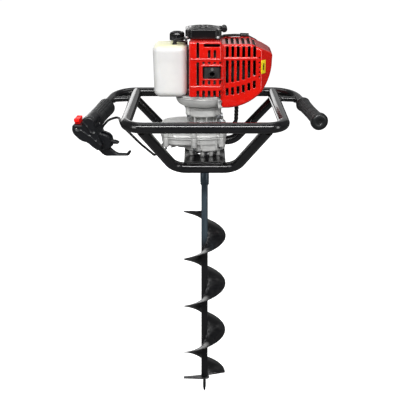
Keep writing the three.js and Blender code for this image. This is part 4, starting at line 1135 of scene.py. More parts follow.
def shroud():
    outer = unite([shroud_volume(0)] + ridges(), 1.0)
    inner = shroud_volume(WALL)
    passage = brick((MIDDLE_X - 8, BLOCK_FRONT_Y + 3, 755), (MIDDLE_X + 8, REAR_Y, 867), 2)
    cuts = left_vents() + block_vents() + left_side_vents() + [
        brick((LEFT_X + WALL, REAR_Y - 4, LEFT_BOTTOM + 2), (MIDDLE_X - 3, REAR_Y + 20, LEFT_TOP - WALL),
              1),
        post(ENGINE_X, 690, 751.3, 65.3),
        post(ENGINE_X, 860, 890, 14),
        brick((46, -40, 700), (120, 50, 735), 2),
        brick((LEFT_X - 10, FRONT_Y - 10, 700), (MIDDLE_X - 2.5, 90, LEFT_BOTTOM), 0.5),
    ]
    whole = carve(outer, [inner, passage] + cuts, 0.8)
    whole.low = np.minimum(SHROUD_LOW, (LEFT_X, FRONT_Y - 1.2, SHROUD_LOW[2]))
    return whole


def sticker():
    """A plain label on the chamfer, a little proud of it, with one generic bar mark."""
    slant = np.array([27.0, 38.0, 0.0])
    slant /= np.linalg.norm(slant)
    outward = np.array([slant[1], -slant[0], 0.0])
    start = np.array([133.5, BLOCK_FRONT_Y + 6.3, 819.0]) + outward * 0.35
    yellow = label(start, slant, outward, 8.6, 15.5, 1.4, 0.35)
    mark = label(start + outward * 0.3, slant, outward, 2.6, 8.0, 1.0, 0.2)
    return yellow, mark


def label(centre, across, outward, half_width, half_height, radius, thickness):
    outline = round_box((-half_width, -half_height), (half_width, half_height), radius, 6)
    rings = []
    for inset, lift in ((0, -0.8), (0, thickness * 0.6), (0.25, thickness)):
        scale = 1 - inset / half_width
        rings.append([centre + across * (a * scale) + np.array(UP) * (b * scale) + outward * lift
                      for a, b in outline])
    return loft(rings)


def painted_shade_sheets():
    """Dark sheets inside the shroud: painted shade that closes the view through its slots."""
    block = prism(Outline(block_outline(WALL + 1.2)), 62.4, 63.8, 0.5, axis=1)
    block = carve(block, [brick((0, 50, 700), (48, 80, 736))])
    left = brick((LEFT_X + 4, 42.0, 812), (MIDDLE_X - 1, 43.4, LEFT_TOP - 4), 0.5)
    behind_muffler = brick((LEFT_X + 4, -33.6, 753), (MIDDLE_X - 1, -32.3, LEFT_TOP - 4), 0.4)
    roof = brick((45, -44, BLOCK_TOP - 9), (118, 62, BLOCK_TOP - 7.6), 0.5)
    return unite([block, left, roof, behind_muffler])


def build_shroud():
    # Black sheets behind the slots stand in for the shade inside the cover.
    piece("shroud_painted_shade_sheets", mesh_form(painted_shade_sheets(), 0.9), "frame", "muffler_black")
    formed("shroud_cover", shroud(), 1.1, "red_cover", "cooling_shroud")
    yellow, mark = sticker()
    piece("label_ground", yellow, "frame", "decal")
    piece("label_mark", mark, "frame", "decal_mark")


# ---- Fuel tank ----------------------------------------------------------------------------------------
FILLER_X = (CAP_LOW[0] + CAP_HIGH[0]) / 2
FILLER_Y = (CAP_LOW[1] + CAP_HIGH[1]) / 2
TANK_TOP = TANK_HIGH[2] - 14
GROMMET = (-69, -38)


def tank():
    """A blow-moulded can that narrows downwards, with a soft shoulder and a parting line."""
    low, high = TANK_LOW, TANK_HIGH
    middle = (low[1] + high[1]) / 2

    def can(grow, bottom, top, fillet):
        outline = round_box((low[0] - grow, low[1] - grow), (high[0] + grow, high[1] + grow), 17)
        return prism(Outline(outline), bottom, top, fillet)

    body = can(0, low[2], TANK_TOP, 15)
    band = brick(low - 2 + (0, middle - low[1] + 1.2, 0), (high[0] + 2, middle + 0.8, TANK_TOP + 2))
    seam = overlap(can(0.7, low[2] - 0.7, TANK_TOP + 0.7, 15), band, 0.3)
    panel = brick((low[0] - 2, low[1] + 24, low[2] + 24), (low[0] + 1.0, high[1] - 24, TANK_TOP - 26), 0.9)
    upright = carve(unite([body, seam], 0.8), [panel], 1.5)

    def leaning(points):
        moved = points.copy()
        share = (TANK_TOP - points[:, 2]) / (TANK_TOP - low[2])
        moved[:, 0] -= 4.0 * share * (high[0] - points[:, 0]) / (high[0] - low[0])
        return upright.distance(moved)

    neck = unite([post(FILLER_X, TANK_TOP - 3, TANK_HIGH[2], 11, 0.8, FILLER_Y),
                  post(FILLER_X, TANK_TOP - 3, TANK_TOP + 2, 15, 1, FILLER_Y)]
                 + [post(FILLER_X, TANK_TOP + z, TANK_TOP + z + 1, 11.6, 0.4, FILLER_Y)
                    for z in (3.4, 6.4, 9.4)], 0.8)
    grommet_seat = post(GROMMET[0], TANK_TOP - 2, TANK_TOP + 1.2, 7, 0.8, GROMMET[1])
    whole = unite([Form(leaning, body.low, body.high), neck, grommet_seat], 2)
    filler = post(FILLER_X, TANK_TOP - 4, TANK_TOP + 20, 8.5, y=FILLER_Y)
    bowl_notch = post(ENGINE_X, low[2] - 5, DECK_Z + 4.8, 66.6)
    return carve(whole, [filler, bowl_notch], 0.6)


def cap():
    """A screw cap with a fluted skirt and a dished crown."""
    bottom, top = CAP_LOW[2], CAP_HIGH[2]
    radius = (CAP_HIGH[0] - CAP_LOW[0]) / 2
    profile = [(12.0, bottom + 12), (12.0, bottom), (radius - 0.8, bottom), (radius, bottom + 0.6),
               (radius, bottom + 1.4), (radius, bottom + 1.8), (radius, top - 6), (radius, top - 5.4),
               (radius - 0.4, top - 4), (radius - 1.6, top - 1.8), (radius - 4, top - 0.4),
               (radius - 6, top), (radius - 7.2, top - 0.4), (radius - 7.8, top - 1.6), (2, top - 2.2),
               (0.01, top - 2.2)]

    def flutes(k, angles):
        deep = 0.045 if k in (5, 6) else 0
        return 1 - deep * (0.5 + 0.5 * np.cos(angles * 26)) ** 0.6

    return turned_rings(profile, (FILLER_X, FILLER_Y, 0), UP, 208, flutes)


def build_tank():
    shell = formed("fuel_tank_shell", tank(), 1.4, "tank_plastic", "fuel_tank")
    soften = shell.modifiers.new("soften", "SMOOTH")
    soften.iterations = 8
    crease(piece("fuel_cap_fluted", cap(), "filler_cap", "black_moulding", ["fuel_cap"]), 30)
    pad = brick((TANK_HIGH[0] - 0.6, -40, 764), (LEFT_X + 0.4, 38, 856), 1.2)
    piece("tank_mount_pad", mesh_form(pad, 1.0), "frame", "seal_rubber")
    grommet = turned_rings([(6, 0), (6.2, 0.6), (5.4, 2.6), (4.2, 3.0), (4.0, 6), (0.01, 6)],
                           (*GROMMET, TANK_TOP + 1.2), UP, 32)
    piece("tank_grommet", grommet, "frame", "seal_rubber")
    return_run = [(-70.5, -38, TANK_TOP + 5), (-70.5, -38, TANK_TOP + 12), (-52, -30, TANK_TOP + 13),
                  (-44, 10, TANK_TOP + 10), (-42, 44, 850), (-30, 54, 810)]
    vent_run = [(-66.5, -39, TANK_TOP + 5), (-66.5, -41, TANK_TOP + 10), (-54, -42, TANK_TOP + 9),
                (-46, -30, TANK_TOP + 6), (-42, 20, 868), (-41, 48, 840), (-24, 60, 800)]
    lines = [bent_tube(return_run, 7, 1.5, 4, 2.5, 16), bent_tube(vent_run, 6, 1.5, 4, 2.2, 16)]
    piece("fuel_return_lines", merged(lines), "frame", "seal_rubber")
    supply_run = [(-66, 44, 762), (-66, 58, 762), (-40, 62, 766), (-30, 56, 780), (-26.5, 56, 784)]
    piece("fuel_hose", bent_tube(supply_run, 6, 1.0, 3, 3.0, 20), "frame", "seal_rubber", ["fuel_line"])


# ---- Recoil starter -----------------------------------------------------------------------------------
ROPE = (corner("starter_rope", 0) + corner("starter_rope", 1)) / 2
ROPE_RADIUS = (corner("starter_rope", 1)[2] - corner("starter_rope", 0)[2]) / 2
HANDLE = (corner("starter_handle", 0) + corner("starter_handle", 1)) / 2
STARTER_BOSSES = [(ENGINE_X + sx * 34, sy * 25) for sx in (-1, 1) for sy in (-1, 1)]
STARTER_EARS = [(ENGINE_X - 39, -38), (ENGINE_X + 33, -39), (ENGINE_X - 36, 36), (ENGINE_X + 33, 38)]


def starter():
    """The starter's cover: a square and a round pot in one, with vents and a snout for the rope."""
    low, high = STARTER_LOW[2], STARTER_HIGH[2]
    shell = unite([
        post(ENGINE_X, low, high - 1.5, 40, 4),
        prism(Outline(round_box((ENGINE_X - 33, -38), (ENGINE_X + 33, 38), 8)), low, high - 3, 3),
        post(ENGINE_X, high - 6, high, 31, 2.5),
        rod((ENGINE_X + 24, ROPE[1], ROPE[2]), (ENGINE_X + 41.5, ROPE[1], ROPE[2]), 6.5, 1.5),
        *posts(STARTER_BOSSES, low, high - 4, 7.6, 2),
        *posts(STARTER_EARS, low, low + 3.4, 6, 0.8),
    ], 2)
    hollow = post(ENGINE_X, low - 10, high - 4.4, 37.4, 2)
    vents = [spoke_slot(k * TAU / 10, 12, 27.5, high - 6, high + 4) for k in range(10)]
    dish = post(ENGINE_X, high - 1.2, high + 4, 9, 0.4)
    rope_hole = rod((ENGINE_X + 15, ROPE[1], ROPE[2]), (ENGINE_X + 60, ROPE[1], ROPE[2]), 3.2)
    pivot = post(ENGINE_X, 887, high - 2, 4)
    return unite([carve(shell, [hollow, *vents, dish, rope_hole], 0.8), pivot], 0.5)


def spoke_slot(angle, inner, outer, low, high):
    """A radial slot that widens outwards."""
    unit = np.array([math.cos(angle), math.sin(angle)])
    side = np.array([-unit[1], unit[0]])
    middle = np.array([ENGINE_X, 0.0])
    corners = [middle + unit * inner - side * 1.6, middle + unit * outer - side * 3.4,
               middle + unit * outer + side * 3.4, middle + unit * inner + side * 1.6]
    return prism(Outline(corners), low, high)


def pull_grip():
    """A waisted bar handle with a collar where the cord goes in."""
    half = (corner("starter_handle", 1)[1] - corner("starter_handle", 0)[1]) / 2
    x, y, z = HANDLE
    form = unite([
        rod((x, y - half, z), (x, y - 3, z), 7.6, 3, tip=6.2),
        rod((x, y + 3, z), (x, y + half, z), 6.2, 3, tip=7.6),
        rod((x, y - 8, z), (x, y + 8, z), 6.6, 2),
        rod((x - 7.4, y, z), (x, y, z), 5.2, 1.2),
    ], 3)
    grooves = [turned_groove(x, y + side * (6.5 + k * 3.2), z) for side in (-1, 1) for k in range(3)]
    return carve(form, grooves, 0.4)


def turned_groove(x, y, z):
    """A shallow ring cut round a bar that lies along Y."""
    def distance(points):
        around = np.hypot(points[:, 0] - x, points[:, 2] - z)
        return np.hypot(around - 8.2, points[:, 1] - y) - 1.5

    return Form(distance, (x - 10, y - 2, z - 10), (x + 10, y + 2, z + 10))


def build_starter():
    formed("starter_cover", starter(), 0.9, "black_moulding", "starter_housing")
    formed("pull_handle_grip", pull_grip(), 0.6, "control_moulding", "starter_handle", "pull_handle")
    start = np.array([corner("starter_rope", 0)[0] + 1, ROPE[1], ROPE[2]])
    end = np.array([HANDLE[0] - 6, ROPE[1], ROPE[2]])
    path = np.array([start + (end - start) * t for t in np.linspace(0, 1, 140)])
    cord = piece("starter_cord", braided(path, ROPE_RADIUS), None, "seal_rubber")
    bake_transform(cord)
    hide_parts("starter_rope")
    screws = [socket_screw((x, y, STARTER_LOW[2] + 3.2), UP, 4.0, 3.8) for x, y in STARTER_EARS]
    screws += [socket_screw((x, y, STARTER_HIGH[2] - 4.6), UP, 3.4, 2.0) for x, y in STARTER_BOSSES]
    fasteners("starter_screws", screws)
    lead = [(36, 44, 868), (44, 66, BLOCK_TOP + 3), (70, 74, BLOCK_TOP + 3.4), (98, 76, BLOCK_TOP + 2.6),
            (122, 77.6, 861), (140, 74, 826), (146, 30, 802), (138, 6, 792), (134, 0, 791)]
    clip = np.array([(84, 75.4, BLOCK_TOP + 3.2), (104, 76, BLOCK_TOP + 2.4)])
    parts = [bent_tube(lead, 8, 1.5, 5, 3.2, 18), sweep(subdivided(clip, 3), 5.2, 20)]
    piece("ignition_lead", merged(parts), "frame", "seal_rubber")
    boot = [(5, 0), (7.4, 0.4), (8, 1.6), (8, 5), (7.2, 5.8), (7.2, 7), (8, 7.8), (8, 13), (7, 15.6),
            (4, 16.4), (0.01, 16.5)]
    moulded = turned_rings(boot, (corner("plug_boot", 0)[0], 0, 791), (1, 0, 0), 40)
    piece("plug_boot_moulded", moulded, "frame", "seal_rubber", ["plug_boot"])


def braided(path, radius):
    """A cord whose surface is woven into a fine raised spiral."""
    angles = np.linspace(0, TAU, 16, endpoint=False)
    rings = []
    for k, (point, (u, v)) in enumerate(zip(path, frames_along(path))):
        r = radius * (1 + 0.06 * np.cos(angles * 4 + k * 0.9) * np.cos(angles * 4 - k * 0.9))
        rings.append(point + (r * np.cos(angles))[:, None] * u + (r * np.sin(angles))[:, None] * v)
    return loft(rings)


# ---- Air filter and carburettor -----------------------------------------------------------------------
def air_filter():
    """The filter box, and the place where its cover's knob sits."""
    low, high = corner("air_filter_housing", 0), corner("air_filter_housing", 1)
    base = brick(low, high, 7)
    joint_y = low[1] + 16
    lip = brick((low[0] - 1.4, joint_y - 1.4, low[2] - 1.4),
                (high[0] + 1.4, joint_y + 1.4, high[2] + 1.4), 1.2)
    cover = brick((low[0] + 7, high[1] - 3, low[2] + 7), (high[0] - 7, high[1] + 2.2, high[2] - 7), 2.2)
    slots = [brick((x, high[1] - 2, low[2] + 14), (x + 4, high[1] + 6, low[2] + 34), 1.4)
             for x in low[0] + 14 + np.arange(7) * 9]
    middle = ((low[0] + high[0]) / 2, high[1] - 1, high[2] - 22)
    knob_seat = rod(middle, (middle[0], high[1] + 2.8, middle[2]), 12, 1)
    hollow = brick(low + 2.6, high - 2.6, 5)
    mouth = rod((ENGINE_X, low[1] - 5, 791), (ENGINE_X, low[1] + 6, 791), 9)
    return carve(unite([base, lip, cover, knob_seat], 1.2), slots + [hollow, mouth], 0.8), middle


def carburettor():
    """The body between its two flanges, with the float bowl below it and the adjuster on top."""
    x = ENGINE_X
    body = unite([
        brick((x - 18, 42, 777), (x + 13, 68, 805), 4),
        brick((x - 21, 38, 776), (x + 15, 42.5, 806), 1.6),
        brick((x - 21, 66, 776), (x + 15, 70, 806), 1.6),
        brick((x - 19, 32, 780), (x + 13, 40, 802), 2),
        post(x - 3, 764, 779, 13, 3, 54),
        post(x - 3, 761.5, 766, 4, 0.6, 54),
        post(x + 4, 803, 809, 5, 1, 54),
        rod((x + 12, 55, 791), (x + 17, 55, 791), 6, 1),
    ], 2)
    saddle = post(x, 700, 900, 30.3)
    throat = rod((x, 20, 791), (x, 80, 791), 8)
    return carve(body, [saddle, throat], 0.6)


def build_intake():
    housing, knob = air_filter()
    formed("air_filter_case", housing, 1.2, "control_moulding", "air_filter_housing")
    flutes = lambda k, a: 1 - 0.07 * (0.5 + 0.5 * np.cos(a * 10)) if k in (1, 2) else np.ones(len(a))
    start = (knob[0], knob[1] + 3.6, knob[2])
    grip = turned_rings([(9, 0), (9.4, 1), (9.4, 6), (8, 7.6), (0.01, 8)], start, (0, 1, 0), 80, flutes)
    crease(piece("air_filter_knob", grip, "frame", "black_moulding"), 35)
    formed("carburettor_body", carburettor(), 0.9, "cast_aluminium", "carburettor")
    corners = [(ENGINE_X + side, z) for side in (-17, 11) for z in (780, 802)]
    screws = [socket_screw((x, 70, z), (0, 1, 0), 2.8, 2.4) for x, z in corners]
    screws.append(hex_bolt((ENGINE_X - 3, 54, 761.5), DOWN, 8, 3))
    fasteners("carburettor_screws", screws)
    low, high = corner("choke_lever", 0), corner("choke_lever", 1)
    y = (low[1] + high[1]) / 2
    outline = arc((y, low[2] + 5), 5, math.pi, TAU, 12) + arc((y, high[2] - 4), 4, 0, math.pi, 12)
    lever = unite([prism(Outline(outline), low[0] + 0.4, high[0] - 0.4, 0.8, axis=0),
                   rod((low[0], y, high[2] - 4.2), (high[0], y, high[2] - 4.2), 4.1, 0.6)], 0.8)
    formed("choke_lever_moulded", lever, 0.5, "control_moulding", "choke_lever", "choke")


# ---- Tube frame ---------------------------------------------------------------------------------------
HANDLE_CORNER = np.array([210.0, 110, 732])
HANDLE_END = np.array([262.0, -89.5, 698])
MIRROR = np.array([-1.0, 1, 1])


def symmetric(right_half, bend):
    half = np.array(right_half, float)
    return bent_path(np.concatenate([half[::-1] * MIRROR, half]), bend)


HANDLE_LINE = symmetric([HANDLE_CORNER, HANDLE_END], 62)
LOOP_LINE = symmetric([(179, -190, 705), (164, 110, 730)], 42)
FRONT_LINE = symmetric([(69, -80, 588.6), (139, -183, 697)], 42)
REAR_LINE = symmetric([(70, 90, 617), (178.5, 110.5, 727)], 38)
GUSSET = [(167, 57, 725.5), (224, 57, 723)]


def distance_to(path, points):
    """How far points are from a polyline."""
    best = np.full(len(points), np.inf)
    for a, b in zip(path, path[1:]):
        edge = b - a
        share = np.clip((points - a) @ edge / (edge @ edge), 0, 1)
        best = np.minimum(best, np.linalg.norm(points - a - share[:, None] * edge, axis=1))
    return best


def fillet_weld(host, host_radius, end, away, radius, bead):
    """A rippled bead round the place where a tube, which leaves from end along away, meets its host tube."""
    away = np.array(away, float) / np.linalg.norm(away)
    u, v = basis(away)
    seam = []
    for angle in np.linspace(0, TAU, 64, endpoint=False):
        start = end + radius * (math.cos(angle) * u + math.sin(angle) * v)
        steps = np.linspace(45, -25, 281)
        gaps = distance_to(host, start + steps[:, None] * away) - host_radius
        inside = np.nonzero(gaps < 0.3)[0]
        if len(inside) == 0:
            return None
        seam.append(start + steps[inside[0]] * away)
    seam = np.array(seam)
    smooth = (np.roll(seam, 1, axis=0) + seam * 2 + np.roll(seam, -1, axis=0)) / 4
    count = 192
    whole = np.concatenate([smooth, smooth[:1]])
    at = np.linspace(0, len(smooth), count, endpoint=False)
    base = at.astype(int)
    path = whole[base] + (whole[base + 1] - whole[base]) * (at - base)[:, None]
    ripples = int(np.linalg.norm(np.diff(path, axis=0), axis=1).sum() / 3.2)
    return sweep(path, lambda t: bead * (1 + 0.13 * abs(math.sin(t * ripples * math.pi))), 10, closed=True)


# On the right: the host tube's line and radius, the end, direction and radius of the tube that meets it,
# and the bead's radius.
JOINTS = [
    (HANDLE_LINE, HANDLE_TUBE, (164, 110, 730), (2.5, -50, -4.2), LOOP_TUBE, 2.2),
    (LOOP_LINE, LOOP_TUBE, GUSSET[0], (57, 0, -2.5), GUSSET_TUBE, 1.8),
    (HANDLE_LINE, HANDLE_TUBE, GUSSET[1], (-57, 0, 2.5), GUSSET_TUBE, 1.8),
    (LOOP_LINE, LOOP_TUBE, (139, -183, 697), (-70, 103, -108.4), LOOP_TUBE, 2.2),
    (LOOP_LINE, LOOP_TUBE, (170, 110, 718), (-100, -20, -101), HANDLE_TUBE, 2.2),
]


def frame_welds():
    beads = []
    for side in (1, -1):
        flip = np.array([side, 1, 1])
        for host, host_radius, end, away, radius, bead in JOINTS:
            beads.append(fillet_weld(host, host_radius, np.array(end) * flip, np.array(away) * flip,
                                     radius, bead))
    return merged([bead for bead in beads if bead])


def plate():
    """The mounting plate, with rounded corners and a hole for the shaft."""
    low, high = PLATE_LOW, PLATE_HIGH
    slab = prism(Outline(round_box(low[:2], high[:2], 9)), low[2], high[2], 0.8)
    return carve(slab, [post(0, 590, 620, 18)], 0.5)


def plate_welds():
    """Straight beads where the lower tubes lie against the plate."""
    beads = []
    for y, z in ((-80, PLATE_LOW[2] - 0.6), (-92, PLATE_LOW[2] - 1.6), (90, PLATE_HIGH[2] + 1),
                 (80, PLATE_HIGH[2] + 1)):
        path = subdivided(np.array([(-42.0, y, z), (42.0, y, z)]), 1.0)
        beads.append(sweep(path, lambda t: 2.0 + 0.25 * abs(math.sin(t * 26 * math.pi)), 10))
    return merged(beads)


def build_frame():
    for name, line, radius, node in (("handlebar_tube", HANDLE_LINE, HANDLE_TUBE, "handlebar"),
                                     ("front_loop_tube", LOOP_LINE, LOOP_TUBE, "front_loop"),
                                     ("front_lower_tube", FRONT_LINE, LOOP_TUBE, "lower_front_tube"),
                                     ("rear_lower_tube", REAR_LINE, HANDLE_TUBE, "lower_rear_tube")):
        crease(piece(name, sweep(subdivided(line, 6), radius, 48), "frame", "black_paint", [node]), 50)
    for name, side in (("gusset_left", -1), ("gusset_right", 1)):
        line = np.array([(side * x, y, z) for x, y, z in GUSSET], float)
        piece(name + "_tube", sweep(subdivided(line, 5), GUSSET_TUBE, 32), "frame", "black_paint", [name])
    piece("frame_welds", frame_welds(), "frame", "black_paint")
    piece("plate_welds", plate_welds(), "frame", "black_paint")
    formed("mount_plate_pressed", plate(), 0.9, "black_paint", "mount_plate")
    bolts = [hex_bolt((x, y, PLATE_LOW[2]), DOWN, 8, 5, 5.4) for x, y in LEGS]
    fasteners("plate_bolts", bolts, "machined_steel")


# ---- Handles and controls -------------------------------------------------------------------------------
GRIP_START_Y = 28.5
LEFT_GRIP = 92.0
GRIP_DROP = 7.0
SWITCH = np.array([-31.0, -3.0])
TRIGGER = np.array([32.0, -38.0])
BACK = LEFT_GRIP + 0.5
FRONT = LEFT_GRIP + 46


def handle_frame(side):
    """Origin and X, Y, Z unit vectors of a handle: Z runs along the tube to its free end, and Y is up."""
    start, end = HANDLE_CORNER * (side, 1, 1), HANDLE_END * (side, 1, 1)
    along = end - start
    origin = start + along * (start[1] - GRIP_START_Y) / (start[1] - end[1])
    along = along / np.linalg.norm(along)
    across = np.cross(UP, along)
    across /= np.linalg.norm(across)
    return origin, (across, np.cross(along, across), along)


def smooth_step(value, low, high):
    t = np.clip((value - low) / (high - low), 0, 1)
    return t * t * (3 - 2 * t)


def groove_rows(angles, z, bands, count, share, half):
    """1 on the ribs and 0 in the grooves of lengthwise rows, broken into bands."""
    within = 0.0
    for low, high in bands:
        within = max(within, min(smooth_step(z, low, low + 1.2), 1 - smooth_step(z, high - 1.2, high)))
    wave = 0.5 + 0.5 * np.cos(angles * count)
    window = 1 - smooth_step(np.abs((angles - half + math.pi) % TAU - math.pi), share - 0.06, share)
    return 1 - smooth_step(wave, 0.45, 0.75) * within * window


def left_grip():
    """The throttle-side grip: rows of lengthwise grooves over its back, in three bands, and a plain palm."""
    angles = np.linspace(0, TAU, 240, endpoint=False)
    rings = []
    for z in np.linspace(0, LEFT_GRIP, 116):
        radius = 20.2 + 0.5 * math.cos(z / LEFT_GRIP * TAU)
        radius -= 1.6 * (1 - smooth_step(z, 0, 2.5)) + 0.8 * (1 - smooth_step(LEFT_GRIP - z, 0, 1.5))
        ribs = groove_rows(angles, z, ((6, 30), (34, 58), (62, 86)), 22, 1.45, 2.2)
        ring_cut = 0.7 * sum(math.exp(-((z - at) / 0.8) ** 2) for at in (3.5, 32, 60, 88.5))
        flat = 1 - 0.05 * np.maximum(0, np.cos(angles - 0.6)) ** 6
        r = radius * flat - 1.1 * (1 - ribs) - ring_cut
        rings.append(np.stack([r * np.cos(angles), r * np.sin(angles) - GRIP_DROP,
                               np.full(len(angles), z)], axis=1))
    return loft(rings)


def right_grip():
    """A plain bar grip: a flanged inner end, four bands of lengthwise ribs and a round outer flange."""
    length = 124.0
    angles = np.linspace(0, TAU, 192, endpoint=False)
    rings = []
    for z in np.concatenate([np.linspace(0, length, 150), [125.2, 125.5]]):
        radius = 15.4 + 1.5 * math.exp(-((z - 5) / 3.5) ** 2) + 0.5 * math.cos(z / 112 * TAU)
        radius += 4.6 * smooth_step(z, 113, 116)
        radius -= 1.2 * smooth_step(z, 122.6, 125)
        radius = min(radius, 20.4)
        ribs = groove_rows(angles, z, ((12, 34), (37, 59), (62, 84), (87, 109)), 26, 4.0, 0.0)
        ring_cut = 0.5 * sum(math.exp(-((z - at) / 0.7) ** 2) for at in (10, 35.5, 60.5, 85.5, 111))
        r = radius - 0.9 * (1 - ribs) - ring_cut
        rings.append(np.stack([r * np.cos(angles), r * np.sin(angles), np.full(len(angles), z)], axis=1))
    rings += [rings[-1] * (0.28, 0.28, 1), rings[-1] * (0.26, 0.26, 1) - (0, 0, 3)]
    return loft(rings)


def housing_outline():
    """The throttle housing from its free end: round over the tube, then down to the trigger's cheek."""
    return arc((0, 0), 16, -0.36, math.pi * 0.75, 18) + [
        (-16, -3), (-20, -4), (-36, -4), (-39, -7), (-40.5, -16), (-39.5, -22), (-36.5, -28), (-32, -32.5),
        (-24, -40), (-17, -43.5), (-8, -45.5), (-2, -49), (4.5, -55.5), (17, -64), (23, -63), (27, -58),
        (30, -48), (24, -36), (21, -24)]


def guard_outline():
    """The finger guard: a tapering bow with a hooked tip."""
    return [(3, -54), (12, -69), (22, -79), (27, -82.5), (31.5, -84), (83, -80.6), (87, -78.5), (91, -71.5),
            (90.5, -68.6), (88, -67.5), (85, -68.8), (83, -72.5), (79, -75), (60, -75.5), (54, -73),
            (47, -68), (42, -63), (30, -50), (6, -44)]


FRONT_RIDGE = [(-29, -19), (-18.7, -17.2), (2.5, -29.8), (16.4, -41.5), (27, -52)]
CLAMP_RIDGE = [(-11.7, 4), (-3, -6.4), (4.5, -19.8), (11, -24)]


def front_bead(line, radius):
    """A raised bead along a line on the housing's outer face."""
    return [capsule((*a, FRONT), (*b, FRONT), radius) for a, b in zip(line, line[1:])]


def throttle_housing():
    """The throttle housing: a clamp on the tube, the switch's well, the trigger's pocket and a guard."""
    cheek = [(12, -24), (30, -27), (40, -31), (46, -38), (47.5, -50), (46, -60), (38, -65), (30, -66),
             (10, -50)]
    seam_z = (BACK + FRONT) / 2 + 8
    shell = unite([
        prism(Outline(housing_outline()), BACK, FRONT, 3.5),
        prism(Outline(guard_outline()), BACK + 16.6, BACK + 28.4, 4.2),
        prism(Outline(cheek), BACK + 9.6, FRONT - 11.6, 3),
        rod((1, -4.5, BACK - 0.2), (1, -4.5, BACK + 9), 17.4, 2),
        *front_bead(FRONT_RIDGE, 1.5),
        *front_bead(CLAMP_RIDGE, 1.4),
        capsule((22, -58, FRONT - 4), (34, -72, BACK + 26), 2.4),
        rod((-14, 3, BACK + 12), (-14, 3, BACK + 24), 5.0, 1.5),
    ], 3)
    pocket_back, pocket_front = BACK + 16.4, BACK + 28.6
    middle = BACK + 22
    cuts = [
        rod((0, 0, BACK - 3), (0, 0, BACK + 33), HANDLE_TUBE + 0.2),
        brick((SWITCH[0] - 7.3, SWITCH[1] - 9.8, middle - 13.6),
              (SWITCH[0] + 7.3, SWITCH[1] + 40, middle + 13.6), 1.2),
        rod((*TRIGGER, pocket_back), (*TRIGGER, pocket_front), 10),
        brick((22, -64, pocket_back), (60, -26, pocket_front)),
    ]
    shrunk = [(x * 0.95 - 0.4, y * 0.95 - 1.2) for x, y in housing_outline()]
    core = prism(Outline(shrunk), BACK + 1, FRONT - 1, 2)
    groove = carve(brick((-60, -60, seam_z - 0.45), (24, 30, seam_z + 0.45)), [core])
    return carve(carve(shell, cuts, 0.8), [groove], 0.3)


def trigger():
    """The trigger: a broad plate that hangs from its pin, and a leaf for the finger."""
    x, y = TRIGGER
    middle = LEFT_GRIP + 23
    lever = [(-2, -5), (2, 4), (8, 3), (13, -2), (16, -5.6), (19, -6.4), (23, -6.5), (29, -8.6),
             (31.5, -10.4), (32, -12), (30.6, -13.8), (28, -14.5), (19, -14.6), (17, -15.6), (16, -20),
             (12, -23), (4, -23.5), (-3, -19), (-4.5, -8)]
    plate = prism(Outline([(x + a, y + b) for a, b in lever]), middle - 5.5, middle + 5.5, 2.2)
    form = unite([plate, rod((x, y, middle - 5.5), (x, y, middle + 5.5), 5, 0.6)], 1.5)
    return carve(form, [rod((x, y, middle - 8), (x, y, middle + 8), 1.8)])


def stop_rocker():
    """A rocker with two raised pads and a dip between them."""
    x, y = SWITCH
    middle = LEFT_GRIP + 22.5
    outline = arc((0, 0), 8.8, math.pi, TAU, 24) + [
        (9, 1.5), (12.4, 2.2), (12.9, 3.5), (12.8, 9.2), (11.6, 10.1), (4, 9.7), (0, 9.5), (-4, 9.7),
        (-11.6, 10.1), (-12.8, 9.2), (-12.9, 3.5), (-12.4, 2.2), (-9, 1.5)]
    swung = Outline([(y + v, middle - u) for u, v in outline])
    pad = prism(swung, x - 6.4, x + 6.4, 1.2, axis=0)
    dots = [brick((x - 4, y + 9.4, middle + u), (x + 4, y + 13, middle + u + 0.9), 0.4)
            for u in (-9.6, -7.4, 6.5, 8.7)]
    return carve(pad, dots, 0.3)


def throttle_cable():
    """The cable, with a crimped end at the grip, a flared end at the engine and a ribbed sleeve."""
    run = [(-244, -52.3, 671.4), (-228, 6, 682), (-212, 22, 688), (-200, -10, 691), (-190, -100, 694),
           (-147, -100, 650), (-117, -60, 614), (-104, 0, 606), (-100, 40, 616), (-84, 76, 640),
           (-50, 82, 645), (50, 82, 645), (76, 86, 662), (78, 86, 745), (40, 82, 752), (18.5, 60, 790)]
    line = subdivided(bent_path(run, 14, 2.0), 5)
    sleeve_run = [(-60, 82, 645), (50, 82, 645), (76, 86, 662), (78, 86, 736)]
    sleeve = subdivided(bent_path(sleeve_run, 14, 2.0), 1.6)
    ends = [sweep(subdivided(np.array([line[0], line[0] + (line[6] - line[0]) * 0.8]), 1.2),
                  lambda t: 4.6 - 1.2 * t + 0.35 * math.sin(t * 40), 20),
            sweep(subdivided(np.array([line[-6], line[-1]]), 1.2), lambda t: 3.4 + 0.9 * t, 20),
            sweep(sleeve, lambda t: 5.0 + 0.45 * math.sin(t * len(sleeve) * 1.2), 20)]
    return merged([sweep(line, 2.8, 20)] + ends)


